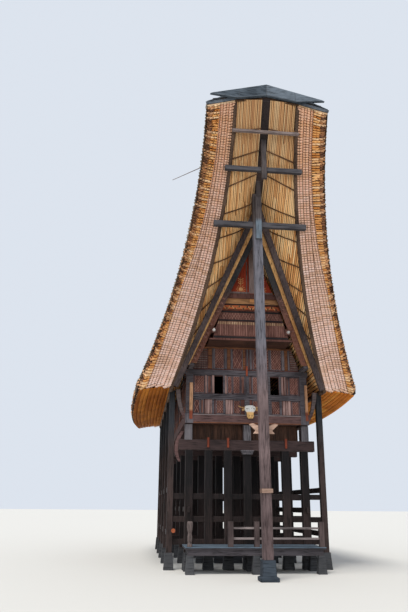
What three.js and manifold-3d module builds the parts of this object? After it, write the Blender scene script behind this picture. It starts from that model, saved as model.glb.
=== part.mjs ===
// A tongkonan: a wooden house on posts under a boat-shaped bamboo roof whose two
// ends sweep up over the gables, each held by one tall ridge post on a stone.
// Millimetres, X right, Y from the front (-) to the back (+), Z up, origin on the
// ground at the middle of the house.
import * as THREE from "three";
import { mergeVertices } from "three/addons/utils/BufferGeometryUtils.js";
import Module from "manifold-3d";

const wasm = await Module();
wasm.setup();

// Driving sizes of the house body
const GAP = 0.3;
const BODY_HALF_WIDTH = 1640;
const BODY_HALF_LENGTH = 3880;
const POST_SIZE = 190;
const POST_LINES = 7;
const POST_LINE_PITCH = 507;
const ROW_PLACES = [-3700, -1850, 0, 1850, 3700];
const POST_TOP = 2870;
const HEADER_TOP = 3140;
const SILL_BOTTOM = 3550;
const SILL_TOP = 3790;
const WALL_TOP = 4840;
const PLATE_TOP = 4980;
const WALL_THICK = 60;
const FLOOR_TOP = 3750;
const FLOOR_THICK = 50;

// Driving sizes of the rails under the house
const RAIL_THICK = 60;
const RAIL_BOTTOMS = [580, 1110, 1660];
const RAIL_HEIGHT = 130;
const SIDE_RAIL = { z: [1340, 1470], reach: 3900 };
const STONE_HEIGHT = 400;
const STONE_FOOT = 270;
const STONE_HEAD = 210;

// Driving sizes of the windows
const WINDOW_CENTRE = 760;
const WINDOW_WIDTH = 240;
const WINDOW_BOTTOM = 4340;
const WINDOW_TOP = 4820;

// Driving sizes of the roof
const RIDGE_MIDDLE = 7600;
const RIDGE_RISE = 3450;
const RIDGE_POWER = 4;
const RIDGE_REACH = 7330;
const RIDGE_BEAM_HALF = 100;
const RIDGE_BEAM_DEPTH = 120;
const EAVE_POLE = { half: 2030, height: 4420, bend: 4200, tipHalf: 780, tipHeight: 10900, tip: 7330 };
const ROOF_EDGE = { half: 2920, height: 4520, bend: 4100, tipHalf: 1500, tipHeight: 10770, tip: 7450 };
const EDGE_BULGE = 180;
const EDGE_SAG = 150;
const POLE_RADIUS = 50;
const FLAT_STEPS = 4;
const SWEPT_STEPS = 9;
const HALF_STEPS = FLAT_STEPS + SWEPT_STEPS;
const RIDGE_CAP = { half: 350, thick: 40, overhang: 25 };
const ROOF_THICK = {
  rise: 30, ridge: [450, 240], pole: [650, 170], thinning: 2.5, edge: [300, 240], lip: 40,
};
const COURSES = { laps: [0.42, 0.68, 0.94, 1.2, 1.5, 1.8], rise: 50 };
const EDGE_LAYERS = { ends: [1.26, 1.48, 1.72], thick: 0.14 };
const FASCIA = {
  tip: 7330, tipHalf: 1425, top: 11500, wing: 11000, middle: 11170,
  fold: 750, bottom: 10985, thick: 60, skew: 120, bevel: [60, 34],
};

// Driving sizes of the timbers inside the swept ends, shares counted along the sweep
const TIES = {
  low: { share: 0.592, past: 190, high: 140, deep: 110 },
  mid: { share: 0.783, past: 130, high: 110, deep: 100 },
  top: { share: 0.912, past: 50, high: 80, deep: 60 },
};
const HANGERS = {
  low: { behind: 6255, deep: 64, z: [7780, 8950], half: 80, off: -60 },
  mid: { behind: 6796, deep: 70, z: [9150, 10600], half: 65, off: 0 },
};
const BARGE = { foot: [1940, 4290, 4430], apex: [50, 5925, 8980], width: 140, depth: 100 };
const RAFTER = { foot: [1690, 4270, 5000], apex: [0, 5660, 8650], width: 90, depth: 60 };
const EDGE_BOARD = { foot: [1585, 4250, 5000], apex: [0, 5550, 8430], width: 280, depth: 40 };

// Driving sizes of the frame of the house
const HEADER = { reach: 1800, half: 100, blocks: 1550 };
const FLOOR_FRAME = { inner: 3720 };
const SKIRT = { half: 1420, length: 3540, thick: 40 };
const MID_RAIL = [4190, 4330];
const SIDE_STUDS = [-2600, -1300, 1300, 2600];
const SIDE_PLATE = { half: [1460, 1600], top: 5060, reach: 4300 };
const GABLE = {
  lower: { foot: 1450, head: 1250, top: 5620 },
  box: { face: 4620, foot: 1020, head: 790, top: 6440, beams: [5800, 5940] },
  band: [
    { z: [6430, 6600], foot: 800, head: 740, proud: 60 },
    { z: [6590, 6740], foot: 740, head: 680, proud: 120 },
    { z: [6730, 6850], foot: 680, head: 620, proud: 200 },
  ],
  top: { face: 4790, foot: 600, apex: 8150 },
};

// Driving sizes of the posts outside the walls
const RIDGE_POST = {
  place: 6150,
  size: 210,
  stoneTop: 420,
  lean: -100,
  shoulder: 9050,
  collar: { half: 122, z: [1770, 1860] },
  bracket: {
    thick: 60,
    outline: [
      [-250, 3060], [250, 3060], [190, 3130], [340, 3270], [250, 3290], [0, 3200],
      [-250, 3290], [-340, 3270], [-190, 3130],
    ],
  },
};
const OUTER_POST = { half: 1990, size: 145, rails: [760, 1840] };

// Driving sizes of the deck
const DECK = {
  half: 1660, front: 4850, top: 580, board: 50, beam: 130,
  line: [4780, 4050], stones: [-1550, 0, 1550],
};
const NEWEL_TOP = 1150;
const RAILING = { from: -600, to: 1580, newels: [-600, 20, 1580], rails: [755, 985], entrance: -1560 };

const house = new THREE.Group();
house.name = "tongkonan_house";

// Colours of the finishes
const DARK_TIMBER = new THREE.MeshStandardMaterial({ color: 0x3a2a24, roughness: 0.8 });
const GREY_TIMBER = new THREE.MeshStandardMaterial({ color: 0x5a6270, roughness: 0.85 });
const BROWN_TIMBER = new THREE.MeshStandardMaterial({ color: 0x5c3a2c, roughness: 0.8 });
const CARVED_TIMBER = new THREE.MeshStandardMaterial({ color: 0x7a3f2a, roughness: 0.75 });
const RED_TIMBER = new THREE.MeshStandardMaterial({ color: 0xa03a20, roughness: 0.75 });
const BAMBOO = new THREE.MeshStandardMaterial({ color: 0xc89a5c, roughness: 0.7 });
const STONE = new THREE.MeshStandardMaterial({ color: 0x4d5a68, roughness: 0.9 });
const METAL = new THREE.MeshStandardMaterial({ color: 0x66788a, roughness: 0.5, metalness: 0.6 });
const HORN = new THREE.MeshStandardMaterial({ color: 0xd8d0c0, roughness: 0.6 });

// Two distances from the middle of the house, towards its front or back end
function span(end, from, to) {
  return [end * from, end * to].sort((a, b) => a - b);
}

function lerp(from, to, share) {
  return from + (to - from) * share;
}

// Solids: joined and cut, always facing outwards

function toSolid(geometry) {
  const bare = geometry.clone();
  bare.deleteAttribute("normal");
  bare.deleteAttribute("uv");
  const merged = mergeVertices(bare, 1e-3);
  const triangles = Uint32Array.from(merged.index.array);
  const vertices = Float32Array.from(merged.attributes.position.array);
  if (signedVolume(vertices, triangles) < 0) {
    for (let i = 0; i < triangles.length; i += 3) {
      const first = triangles[i];
      triangles[i] = triangles[i + 1];
      triangles[i + 1] = first;
    }
  }
  const mesh = new wasm.Mesh({ numProp: 3, vertProperties: vertices, triVerts: triangles });
  return new wasm.Manifold(mesh);
}

function signedVolume(vertices, triangles) {
  const a = new THREE.Vector3();
  const b = new THREE.Vector3();
  const c = new THREE.Vector3();
  let volume = 0;
  for (let i = 0; i < triangles.length; i += 3) {
    a.fromArray(vertices, triangles[i] * 3);
    b.fromArray(vertices, triangles[i + 1] * 3);
    c.fromArray(vertices, triangles[i + 2] * 3);
    volume += a.dot(b.cross(c)) / 6;
  }
  return volume;
}

function toGeometry(solid) {
  const mesh = solid.getMesh();
  const geometry = new THREE.BufferGeometry();
  geometry.setAttribute("position", new THREE.BufferAttribute(mesh.vertProperties, 3));
  geometry.setIndex(new THREE.BufferAttribute(mesh.triVerts, 1));
  geometry.computeVertexNormals();
  return geometry;
}

function join(...solids) {
  return solids.reduce((whole, solid) => whole.add(solid));
}

function cut(solid, ...tools) {
  return tools.reduce((rest, tool) => rest.subtract(tool), solid);
}

function addPiece(name, solid, material) {
  const mesh = new THREE.Mesh(toGeometry(solid), material.clone());
  mesh.name = name;
  house.add(mesh);
}

function box(x, y, z) {
  const geometry = new THREE.BoxGeometry(x[1] - x[0], y[1] - y[0], z[1] - z[0]);
  geometry.translate((x[0] + x[1]) / 2, (y[0] + y[1]) / 2, (z[0] + z[1]) / 2);
  return toSolid(geometry);
}

// A flat plate seen from the front: points are x and z, its thickness runs along Y
function plate(points, y) {
  const shape = new THREE.Shape(points.map(([x, z]) => new THREE.Vector2(x, z)));
  const geometry = new THREE.ExtrudeGeometry(shape, { depth: y[1] - y[0], bevelEnabled: false });
  geometry.rotateX(Math.PI / 2);
  geometry.translate(0, y[1], 0);
  return toSolid(geometry);
}

// A straight square timber between two points
function timber(start, end, width, depth) {
  const from = new THREE.Vector3(...start);
  const to = new THREE.Vector3(...end);
  const geometry = new THREE.BoxGeometry(width, depth, from.distanceTo(to));
  const along = to.clone().sub(from).normalize();
  const side = new THREE.Vector3(0, 1, 0).cross(along).normalize();
  const up = along.clone().cross(side);
  geometry.applyMatrix4(new THREE.Matrix4().makeBasis(side, up, along));
  geometry.translate(...from.add(to).multiplyScalar(0.5).toArray());
  return toSolid(geometry);
}

// A square block that narrows from its foot to its head
function taperedBlock(centre, z, foot, head) {
  const geometry = new THREE.CylinderGeometry(head / Math.SQRT2, foot / Math.SQRT2, z[1] - z[0], 4);
  geometry.rotateY(Math.PI / 4);
  geometry.rotateX(Math.PI / 2);
  geometry.translate(centre[0], centre[1], (z[0] + z[1]) / 2);
  return toSolid(geometry);
}

// Curves of the roof, at a step from the middle of the house (0) to a tip (HALF_STEPS)

function sweptShare(step) {
  return Math.max(0, (Math.abs(step) - FLAT_STEPS) / SWEPT_STEPS);
}

function flatShare(step) {
  return Math.min(1, Math.abs(step) / FLAT_STEPS);
}

function curvePoint(curve, step) {
  const swept = sweptShare(step);
  return {
    x: curve.tipHalf + (curve.half - curve.tipHalf) * (1 - swept) ** 2,
    y: lerp(curve.bend * flatShare(step), curve.tip, swept),
    z: lerp(curve.height, curve.tipHeight, swept),
  };
}

function ridgeHeight(forward) {
  return RIDGE_MIDDLE + RIDGE_RISE * (forward / RIDGE_REACH) ** RIDGE_POWER;
}

function ridgeStretch(forward) {
  const slope = (RIDGE_POWER * RIDGE_RISE / RIDGE_REACH) * (forward / RIDGE_REACH) ** (RIDGE_POWER - 1);
  return Math.hypot(1, slope);
}

function poleStretch(step) {
  const slope = (EAVE_POLE.tipHeight - EAVE_POLE.height) / (EAVE_POLE.tip - EAVE_POLE.bend);
  if (sweptShare(step) > 0) return Math.hypot(1, slope);
  return Math.abs(step) < FLAT_STEPS ? 1 : Math.sqrt(Math.hypot(1, slope));
}

function edgePoint(step) {
  const point = curvePoint(ROOF_EDGE, step);
  const bulge = 1 - flatShare(step) ** 2;
  return { x: point.x + EDGE_BULGE * bulge, y: point.y, z: point.z - EDGE_SAG * bulge };
}

// Heights of the roof's underside and top at one step
function roofSection(step) {
  const pole = curvePoint(EAVE_POLE, step);
  const edge = edgePoint(step);
  const swept = sweptShare(step);
  const ridgeSoffit = ridgeHeight(pole.y) + ROOF_THICK.rise;
  const poleSoffit = pole.z + POLE_RADIUS * poleStretch(step) + GAP;
  const ridgeTop = ridgeSoffit + lerp(...ROOF_THICK.ridge, swept);
  const poleTop = poleSoffit + lerp(...ROOF_THICK.pole, swept ** ROOF_THICK.thinning);
  const edgeTop = edge.z + ROOF_THICK.lip;
  const edgeBase = edgeTop - lerp(...ROOF_THICK.edge, swept);
  const share = pole.x / edge.x;
  const sag = (lerp(ridgeTop, edgeTop, share) - poleTop) / (4 * share * (1 - share));
  return { pole, edge, ridgeSoffit, poleSoffit, ridgeTop, edgeTop, edgeBase, sag };
}

function roofTop(section, x) {
  const share = x / section.edge.x;
  return lerp(section.ridgeTop, section.edgeTop, share) - section.sag * 4 * share * (1 - share);
}

// An outline of pairs, swept from the back tip to the front tip; place() turns a
// pair and a step into x, how far forward, and z
function sweepAlongRoof(outline, place, fromStep = -HALF_STEPS, toStep = HALF_STEPS) {
  const shape = new THREE.Shape(outline.map(([a, b]) => new THREE.Vector2(a, b)));
  const steps = toStep - fromStep;
  const geometry = new THREE.ExtrudeGeometry(shape, { depth: steps, steps, bevelEnabled: false });
  const position = geometry.attributes.position;
  for (let i = 0; i < position.count; i += 1) {
    const step = Math.round(position.getZ(i)) + fromStep;
    const point = place(position.getX(i), position.getY(i), step);
    position.setXYZ(i, point.x, -Math.sign(step) * point.y, point.z);
  }
  return toSolid(geometry);
}

// Roof: two thick bamboo slopes. On top each course laps over the next one below, and
// underneath, beyond the pole, each layer ends a little before the one above it. An
// outline's points are how far across, and the layer: 0 underneath, 1 on top, and 2 at
// the lower end of a course.

const SLOPE_TOP = [[0, 1], ...COURSES.laps.flatMap((across) => [[across, 2], [across, 1]]), [2, 1]];
const SLOPE_UNDER = EDGE_LAYERS.ends.flatMap((across, index) => [
  [across, index * EDGE_LAYERS.thick], [across, (index + 1) * EDGE_LAYERS.thick],
]);
const SLOPE_OUTLINE = [
  [0, 0], [1, 0], ...SLOPE_UNDER, [2, EDGE_LAYERS.ends.length * EDGE_LAYERS.thick],
  ...SLOPE_TOP.toReversed(),
];

function slopePoint(across, layer, step) {
  const section = roofSection(step);
  const inner = RIDGE_BEAM_HALF + GAP;
  const past = Math.max(0, across - 1);
  const x = past > 0 ? lerp(section.pole.x, section.edge.x, past) : lerp(inner, section.pole.x, across);
  const y = lerp(section.pole.y, section.edge.y, past);
  const soffit = lerp(section.ridgeSoffit, section.poleSoffit, Math.min(1, across));
  const base = past > 0 ? lerp(section.poleSoffit, section.edgeBase, past) : soffit;
  const lap = Math.max(0, layer - 1) * COURSES.rise;
  return { x, y, z: lerp(base, roofTop(section, x), Math.min(1, layer)) + lap };
}

// The faceted top surface at x: how far forward it is, and its height
function slopeTop(step, x) {
  const points = SLOPE_TOP.map(([across, layer]) => slopePoint(across, layer, step));
  const next = points.findIndex((point) => point.x > x);
  const from = points[Math.max(0, next - 1)];
  const to = points[Math.max(1, next)];
  const share = (x - from.x) / (to.x - from.x);
  return { y: lerp(from.y, to.y, share), z: lerp(from.z, to.z, share) };
}

function roofSlope(side, lift = 0) {
  const place = (a, b, step) => {
    const point = slopePoint(a, b, step);
    return { x: side * point.x, y: point.y, z: point.z + lift };
  };
  return sweepAlongRoof(SLOPE_OUTLINE, place);
}

// The curved beam under the ridge, and the two poles that carry the edges

function ridgeBeam(grow = 0) {
  const place = (a, b, step) => {
    const forward = curvePoint(EAVE_POLE, step).y;
    const height = (RIDGE_BEAM_DEPTH + 2 * grow) * ridgeStretch(forward);
    return { x: a * (RIDGE_BEAM_HALF + grow), y: forward, z: ridgeHeight(forward) - grow * 2 + b * height };
  };
  return sweepAlongRoof([[-1, 0], [1, 0], [1, 1], [-1, 1]], place);
}

function eavePole(side, grow = 0) {
  const outline = [];
  for (let corner = 0; corner < 8; corner += 1) {
    const turn = (corner * Math.PI) / 4;
    outline.push([Math.cos(turn), Math.sin(turn)]);
  }
  const place = (a, b, step) => {
    const centre = curvePoint(EAVE_POLE, step);
    const radius = POLE_RADIUS + grow;
    return {
      x: side * (centre.x + a * radius),
      y: centre.y,
      z: centre.z + b * radius * poleStretch(step),
    };
  };
  return sweepAlongRoof(outline, place);
}

// The room between the underside of the ridge beam and the sky, kept clear by
// every timber that carries the ridge from below
function ridgeSpace() {
  const place = (a, b, step) => {
    const forward = curvePoint(EAVE_POLE, step).y;
    const bottom = ridgeHeight(forward) - GAP * ridgeStretch(forward);
    return { x: a * 500, y: forward, z: bottom + b * 3000 };
  };
  return sweepAlongRoof([[-1, 0], [1, 0], [1, 1], [-1, 1]], place);
}

// How steeply the top surface climbs in its last step before a tip
function tipSteepness(x) {
  const before = slopeTop(HALF_STEPS - 1, x);
  const last = slopeTop(HALF_STEPS, x);
  return (last.z - before.z) / (last.y - before.y);
}

// The metal cover of the ridge: a strip along its whole length, and at both tips a
// wide folded fascia that hangs over the cut end of the roof
function ridgeCap() {
  const outline = [[-2, 0], [-1, 0], [1, 0], [2, 0], [2, 1], [1, 1], [-1, 1], [-2, 1]];
  const place = (a, b, step) => {
    const tip = Math.abs(step) === HALF_STEPS;
    const inner = RIDGE_BEAM_HALF + GAP;
    const outer = Math.abs(a) > 1.5;
    const x = outer ? RIDGE_CAP.half : inner;
    const under = outer ? -RIDGE_CAP.thick : GAP;
    const top = slopeTop(step, x);
    const past = tip ? fasciaBack(x) + RIDGE_CAP.overhang - top.y : 0;
    return {
      x: Math.sign(a) * x,
      y: top.y + past,
      z: top.z + past * tipSteepness(x) + (b > 0.5 ? RIDGE_CAP.thick : under),
    };
  };
  const strip = cut(sweepAlongRoof(outline, place), roofSlope(-1, GAP), roofSlope(1, GAP));
  return join(strip, fascia(-1), fascia(1));
}

// How far forward the back of the fascia is at x
function fasciaBack(x) {
  return FASCIA.tip + GAP + (FASCIA.skew * Math.abs(x)) / FASCIA.tipHalf;
}

function fascia(end) {
  const { tipHalf, top, wing, middle, fold, bottom, bevel } = FASCIA;
  const shape = new THREE.Shape([
    new THREE.Vector2(-tipHalf, wing),
    new THREE.Vector2(-fold, bottom),
    new THREE.Vector2(0, middle),
    new THREE.Vector2(fold, bottom),
    new THREE.Vector2(tipHalf, wing),
    new THREE.Vector2(tipHalf - bevel[0], wing + bevel[1]),
    new THREE.Vector2(0, top),
    new THREE.Vector2(-tipHalf + bevel[0], wing + bevel[1]),
  ]);
  const geometry = new THREE.ExtrudeGeometry(shape, { depth: FASCIA.thick, bevelEnabled: false });
  const position = geometry.attributes.position;
  for (let i = 0; i < position.count; i += 1) {
    const x = position.getX(i);
    position.setXYZ(i, x, end * (fasciaBack(x) + position.getZ(i)), position.getY(i));
  }
  return toSolid(geometry);
}

// Ties across the underside of each swept end, and the hangers at their middle

function tiePlace(tie) {
  const swept = tie.share;
  const half = EAVE_POLE.tipHalf + (EAVE_POLE.half - EAVE_POLE.tipHalf) * (1 - swept) ** 2;
  return {
    half: half + tie.past,
    forward: lerp(EAVE_POLE.bend, EAVE_POLE.tip, swept) + 45 + tie.deep / 2,
    height: lerp(EAVE_POLE.height, EAVE_POLE.tipHeight, swept) - 40,
  };
}

function tieBox(tie, end, grow = 0) {
  const at = tiePlace(tie);
  const y = end * at.forward;
  return box(
    [-at.half - grow, at.half + grow],
    [y - tie.deep / 2 - grow, y + tie.deep / 2 + grow],
    [at.height - tie.high / 2 - grow, at.height + tie.high / 2 + grow],
  );
}

function addTies(end, endName) {
  for (const [name, tie] of Object.entries(TIES)) {
    const bar = cut(tieBox(tie, end), eavePole(-1, GAP), eavePole(1, GAP));
    addPiece(`tie_${name}_${endName}`, bar, name === "top" ? GREY_TIMBER : DARK_TIMBER);
  }
}

function addHangers(end, endName) {
  for (const [name, hanger] of Object.entries(HANGERS)) {
    const y = span(end, hanger.behind + GAP, hanger.behind + hanger.deep);
    const bar = box([-hanger.half + hanger.off, hanger.half + hanger.off], y, hanger.z);
    addPiece(`hanger_${name}_${endName}`, cut(bar, ridgeSpace()), GREY_TIMBER);
  }
}

// Gable timbers: the barge timbers, which cross under the ridge beam, and inside them
// the wide boards along the gable's edges, each with a light rafter on its outer edge

function timberPair(end, foot, apex, width, depth) {
  const legs = [-1, 1].map((side) => timber(
    [side * foot[0], end * foot[1], foot[2]],
    [-side * apex[0], end * apex[1], apex[2]],
    width,
    depth,
  ));
  return cut(join(...legs), ridgeSpace());
}

function addGableTimbers(end, endName) {
  const barge = timberPair(end, BARGE.foot, BARGE.apex, BARGE.width, BARGE.depth);
  addPiece(`barge_timbers_${endName}`, cut(barge, eavePole(-1, GAP), eavePole(1, GAP)), DARK_TIMBER);
  const light = timberPair(end, RAFTER.foot, RAFTER.apex, RAFTER.width, RAFTER.depth);
  const board = timberPair(end, EDGE_BOARD.foot, EDGE_BOARD.apex, EDGE_BOARD.width, EDGE_BOARD.depth);
  const below = box([-2500, 2500], [-5200, 5200], [4000, SIDE_PLATE.top + GAP]);
  addPiece(`inner_rafters_${endName}`, cut(join(light, board), below, gableBeams(end, GAP)), BAMBOO);
}

// The tall post under each ridge end, on its own stone, with a flared bracket

function addRidgePost(end, endName) {
  const { place, size, stoneTop, lean, shoulder, collar, bracket } = RIDGE_POST;
  const y = end * place;
  const shaft = timber([0, y, stoneTop - 200], [lean, y, 10500], size, size);
  const band = box([-collar.half, collar.half], [y - collar.half, y + collar.half], collar.z);
  const below = box([-500, 500], [y - 500, y + 500], [-500, stoneTop + GAP]);
  const mortise = tieBox(TIES.low, end, GAP);
  const shoulders = [-1, 1].map((side) => box(
    span(side, RIDGE_BEAM_HALF, 500),
    [y - 500, y + 500],
    [shoulder, 11000],
  ));
  const whole = cut(join(shaft, band), below, mortise, ...shoulders, ridgeSpace());
  addPiece(`ridge_post_${endName}`, whole, BROWN_TIMBER);

  const foot = box([-200, 200], [y - 200, y + 200], [0, 90]);
  const stone = taperedBlock([0, y], [80, stoneTop], 310, 280);
  addPiece(`ridge_post_stone_${endName}`, join(foot, stone), STONE);

  const back = place - size / 2 - GAP;
  const wings = plate(bracket.outline, span(end, back - bracket.thick, back));
  addPiece(`ridge_post_bracket_${endName}`, wings, BAMBOO);
}

// Posts under the house, in rows across it, each row threaded on three rails

function addPostRows() {
  ROW_PLACES.forEach((y, index) => {
    const parts = [];
    for (let line = 0; line < POST_LINES; line += 1) {
      const x = (line - (POST_LINES - 1) / 2) * POST_LINE_PITCH;
      const half = POST_SIZE / 2;
      parts.push(box([x - half, x + half], [y - half, y + half], [STONE_HEIGHT - 100, POST_TOP]));
      parts.push(taperedBlock([x, y], [0, STONE_HEIGHT], STONE_FOOT, STONE_HEAD));
    }
    const reach = OUTER_POST.half - OUTER_POST.size / 2 - GAP;
    for (const z of RAIL_BOTTOMS) {
      parts.push(box([-reach, reach], [y - RAIL_THICK / 2, y + RAIL_THICK / 2], [z, z + RAIL_HEIGHT]));
    }
    const mortises = [-1, 1].map((side) => sideRail(side, GAP));
    addPiece(`post_row_${index + 1}`, cut(join(...parts), ...mortises), DARK_TIMBER);
    addPiece(`header_${index + 1}`, header(y), BROWN_TIMBER);
  });
  addPiece("side_rail_left", sideRail(-1), BROWN_TIMBER);
  addPiece("side_rail_right", sideRail(1), BROWN_TIMBER);
}

function sideRail(side, grow = 0) {
  const x = (side * POST_LINE_PITCH * (POST_LINES - 1)) / 2;
  const half = RAIL_THICK / 2 + grow;
  const reach = SIDE_RAIL.reach + grow;
  return box([x - half, x + half], [-reach, reach], [SIDE_RAIL.z[0] - grow, SIDE_RAIL.z[1] + grow]);
}

function header(y) {
  const across = [y - HEADER.half, y + HEADER.half];
  const beam = box([-HEADER.reach, HEADER.reach], across, [POST_TOP + GAP, HEADER_TOP]);
  const blocks = [-HEADER.blocks, 0, HEADER.blocks].map((x) => box(
    [x - POST_SIZE / 2, x + POST_SIZE / 2],
    across,
    [HEADER_TOP - 50, SILL_BOTTOM - GAP],
  ));
  return join(beam, ...blocks);
}

// Tall posts outside the walls, which carry the eave poles

function addOuterPosts() {
  for (const [name, side] of [["outer_posts_left", -1], ["outer_posts_right", 1]]) {
    const x = side * OUTER_POST.half;
    const half = OUTER_POST.size / 2;
    const parts = [];
    for (const y of ROW_PLACES) {
      parts.push(box([x - half, x + half], [y - half, y + half], [STONE_HEIGHT - 100, EAVE_POLE.height]));
      parts.push(taperedBlock([x, y], [0, STONE_HEIGHT], STONE_FOOT - 20, STONE_HEAD - 20));
    }
    const reach = ROW_PLACES[ROW_PLACES.length - 1];
    for (const z of OUTER_POST.rails) {
      const rail = RAIL_THICK / 2;
      parts.push(box([x - rail, x + rail], [-reach, reach], [z, z + RAIL_HEIGHT]));
    }
    addPiece(name, cut(join(...parts), eavePole(side, GAP)), DARK_TIMBER);
  }
}

// Floor: a frame of sills with upturned ends, a boarded skirt and the floor itself

function hornOutline(side) {
  const inner = new THREE.QuadraticBezierCurve(
    new THREE.Vector2(1600, SILL_BOTTOM + 20),
    new THREE.Vector2(1850, 3800),
    new THREE.Vector2(1905, 4420),
  );
  const outer = new THREE.QuadraticBezierCurve(
    new THREE.Vector2(1790, 4420),
    new THREE.Vector2(1760, 3950),
    new THREE.Vector2(1655, SILL_TOP - 20),
  );
  const foot = new THREE.Vector2(1600, SILL_TOP - 20);
  return [...inner.getPoints(5), ...outer.getPoints(5), foot].map((point) => [side * point.x, point.y]);
}

function addFloor() {
  const outer = BODY_HALF_WIDTH + 20;
  const inner = BODY_HALF_WIDTH - 120;
  const frontOut = BODY_HALF_LENGTH + 20;
  const frontIn = FLOOR_FRAME.inner;
  const z = [SILL_BOTTOM, SILL_TOP];
  const ring = cut(
    box([-outer, outer], [-frontOut, frontOut], z),
    box([-inner, inner], [-frontIn, frontIn], [z[0] - 10, z[1] + 10]),
  );
  const horns = [];
  for (const side of [-1, 1]) {
    for (const end of [-1, 1]) {
      horns.push(plate(hornOutline(side), span(end, frontOut - 100, frontOut)));
    }
  }
  addPiece("floor_frame", join(ring, ...horns), CARVED_TIMBER);

  const boards = box(
    [-inner + GAP, inner - GAP],
    [-frontIn + GAP, frontIn - GAP],
    [FLOOR_TOP - FLOOR_THICK, FLOOR_TOP],
  );
  const joist = box([-70, 70], [-frontIn + 20, frontIn - 20], [SILL_BOTTOM, FLOOR_TOP - FLOOR_THICK + 10]);
  addPiece("floor", join(boards, joist), BROWN_TIMBER);

  const skirtTop = FLOOR_TOP - FLOOR_THICK - GAP;
  const { half, length, thick } = SKIRT;
  const skirt = cut(
    box([-half, half], [-length, length], [HEADER_TOP + GAP, skirtTop]),
    box([-half + thick, half - thick], [-length + thick, length - thick], [HEADER_TOP - 10, skirtTop + 10]),
    box([-71, 71], [-length - 10, length + 10], [SILL_BOTTOM - GAP, skirtTop + 10]),
  );
  addPiece("floor_skirt", skirt, BROWN_TIMBER);
}

// Walls: boarded panels in frames, with the small windows cut through

function windowHole(end, side) {
  const x = side * WINDOW_CENTRE;
  return box(
    [x - WINDOW_WIDTH / 2, x + WINDOW_WIDTH / 2],
    [end * BODY_HALF_LENGTH - 300, end * BODY_HALF_LENGTH + 300],
    [WINDOW_BOTTOM, WINDOW_TOP],
  );
}

function addEndWall(end, name) {
  const face = BODY_HALF_LENGTH;
  const across = (from, to) => span(end, from, to);
  const bottom = SILL_TOP + GAP;
  const parts = [box([-1460, 1460], across(face - 110, face - 50), [bottom, WALL_TOP + 20])];
  for (const side of [-1, 1]) {
    const x = side * (BODY_HALF_WIDTH - 95);
    parts.push(box([x - 95, x + 95], across(face - 160, face), [bottom, WALL_TOP + 20]));
    for (const jamb of [WINDOW_CENTRE - 150, WINDOW_CENTRE + 150]) {
      const at = side * jamb;
      parts.push(box([at - 30, at + 30], across(face - 110, face - 20), [bottom, WALL_TOP + 20]));
    }
  }
  parts.push(box([-40, 40], across(face - 110, face - 20), [bottom, WALL_TOP + 20]));
  parts.push(box([-1460, 1460], across(face - 110, face - 20), MID_RAIL));
  parts.push(box([-1680, 1680], across(face - 160, face), [WALL_TOP, PLATE_TOP]));
  const wall = cut(join(...parts), windowHole(end, -1), windowHole(end, 1));
  addPiece(name, wall, CARVED_TIMBER);
}

function addSideWall(side, name) {
  const outer = side * (BODY_HALF_WIDTH - 60);
  const inner = outer - side * WALL_THICK;
  const across = (from, to) => [from, to].sort((a, b) => a - b);
  const reach = BODY_HALF_LENGTH - 160 - GAP;
  const z = [SILL_TOP + GAP, PLATE_TOP - 2 * GAP];
  const parts = [box(across(inner, outer), [-reach, reach], z)];
  const proud = outer + side * 30;
  parts.push(box(across(inner, proud), [-reach, reach], MID_RAIL));
  for (const y of SIDE_STUDS) {
    parts.push(box(across(inner, proud), [y - 45, y + 45], z));
  }
  const hole = box(
    across(inner - side * 300, outer + side * 300),
    [-WINDOW_WIDTH / 2, WINDOW_WIDTH / 2],
    [WINDOW_BOTTOM, WINDOW_TOP],
  );
  addPiece(name, cut(join(...parts), hole), CARVED_TIMBER);
}

function addSidePlates() {
  for (const [name, side] of [["side_plate_left", -1], ["side_plate_right", 1]]) {
    const x = span(side, ...SIDE_PLATE.half);
    const along = box(x, [-SIDE_PLATE.reach, SIDE_PLATE.reach], [PLATE_TOP + GAP, SIDE_PLATE.top]);
    addPiece(name, along, GREY_TIMBER);
  }
}

// Gables: a carved lower panel in the wall's plane, a jettied box above it and the
// painted triangle under the ridge

// The two beams that carry the jettied box
function gableBeams(end, grow = 0) {
  const { box: jetty } = GABLE;
  const beams = [-1, 1].map((side) => box(
    span(side, jetty.foot - 100 - grow, jetty.foot + 40 + grow),
    span(end, BODY_HALF_LENGTH - 500 - grow, jetty.face + 60 + grow),
    [jetty.beams[0] - grow, jetty.beams[1] + grow],
  ));
  return beams[0].add(beams[1]);
}

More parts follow.
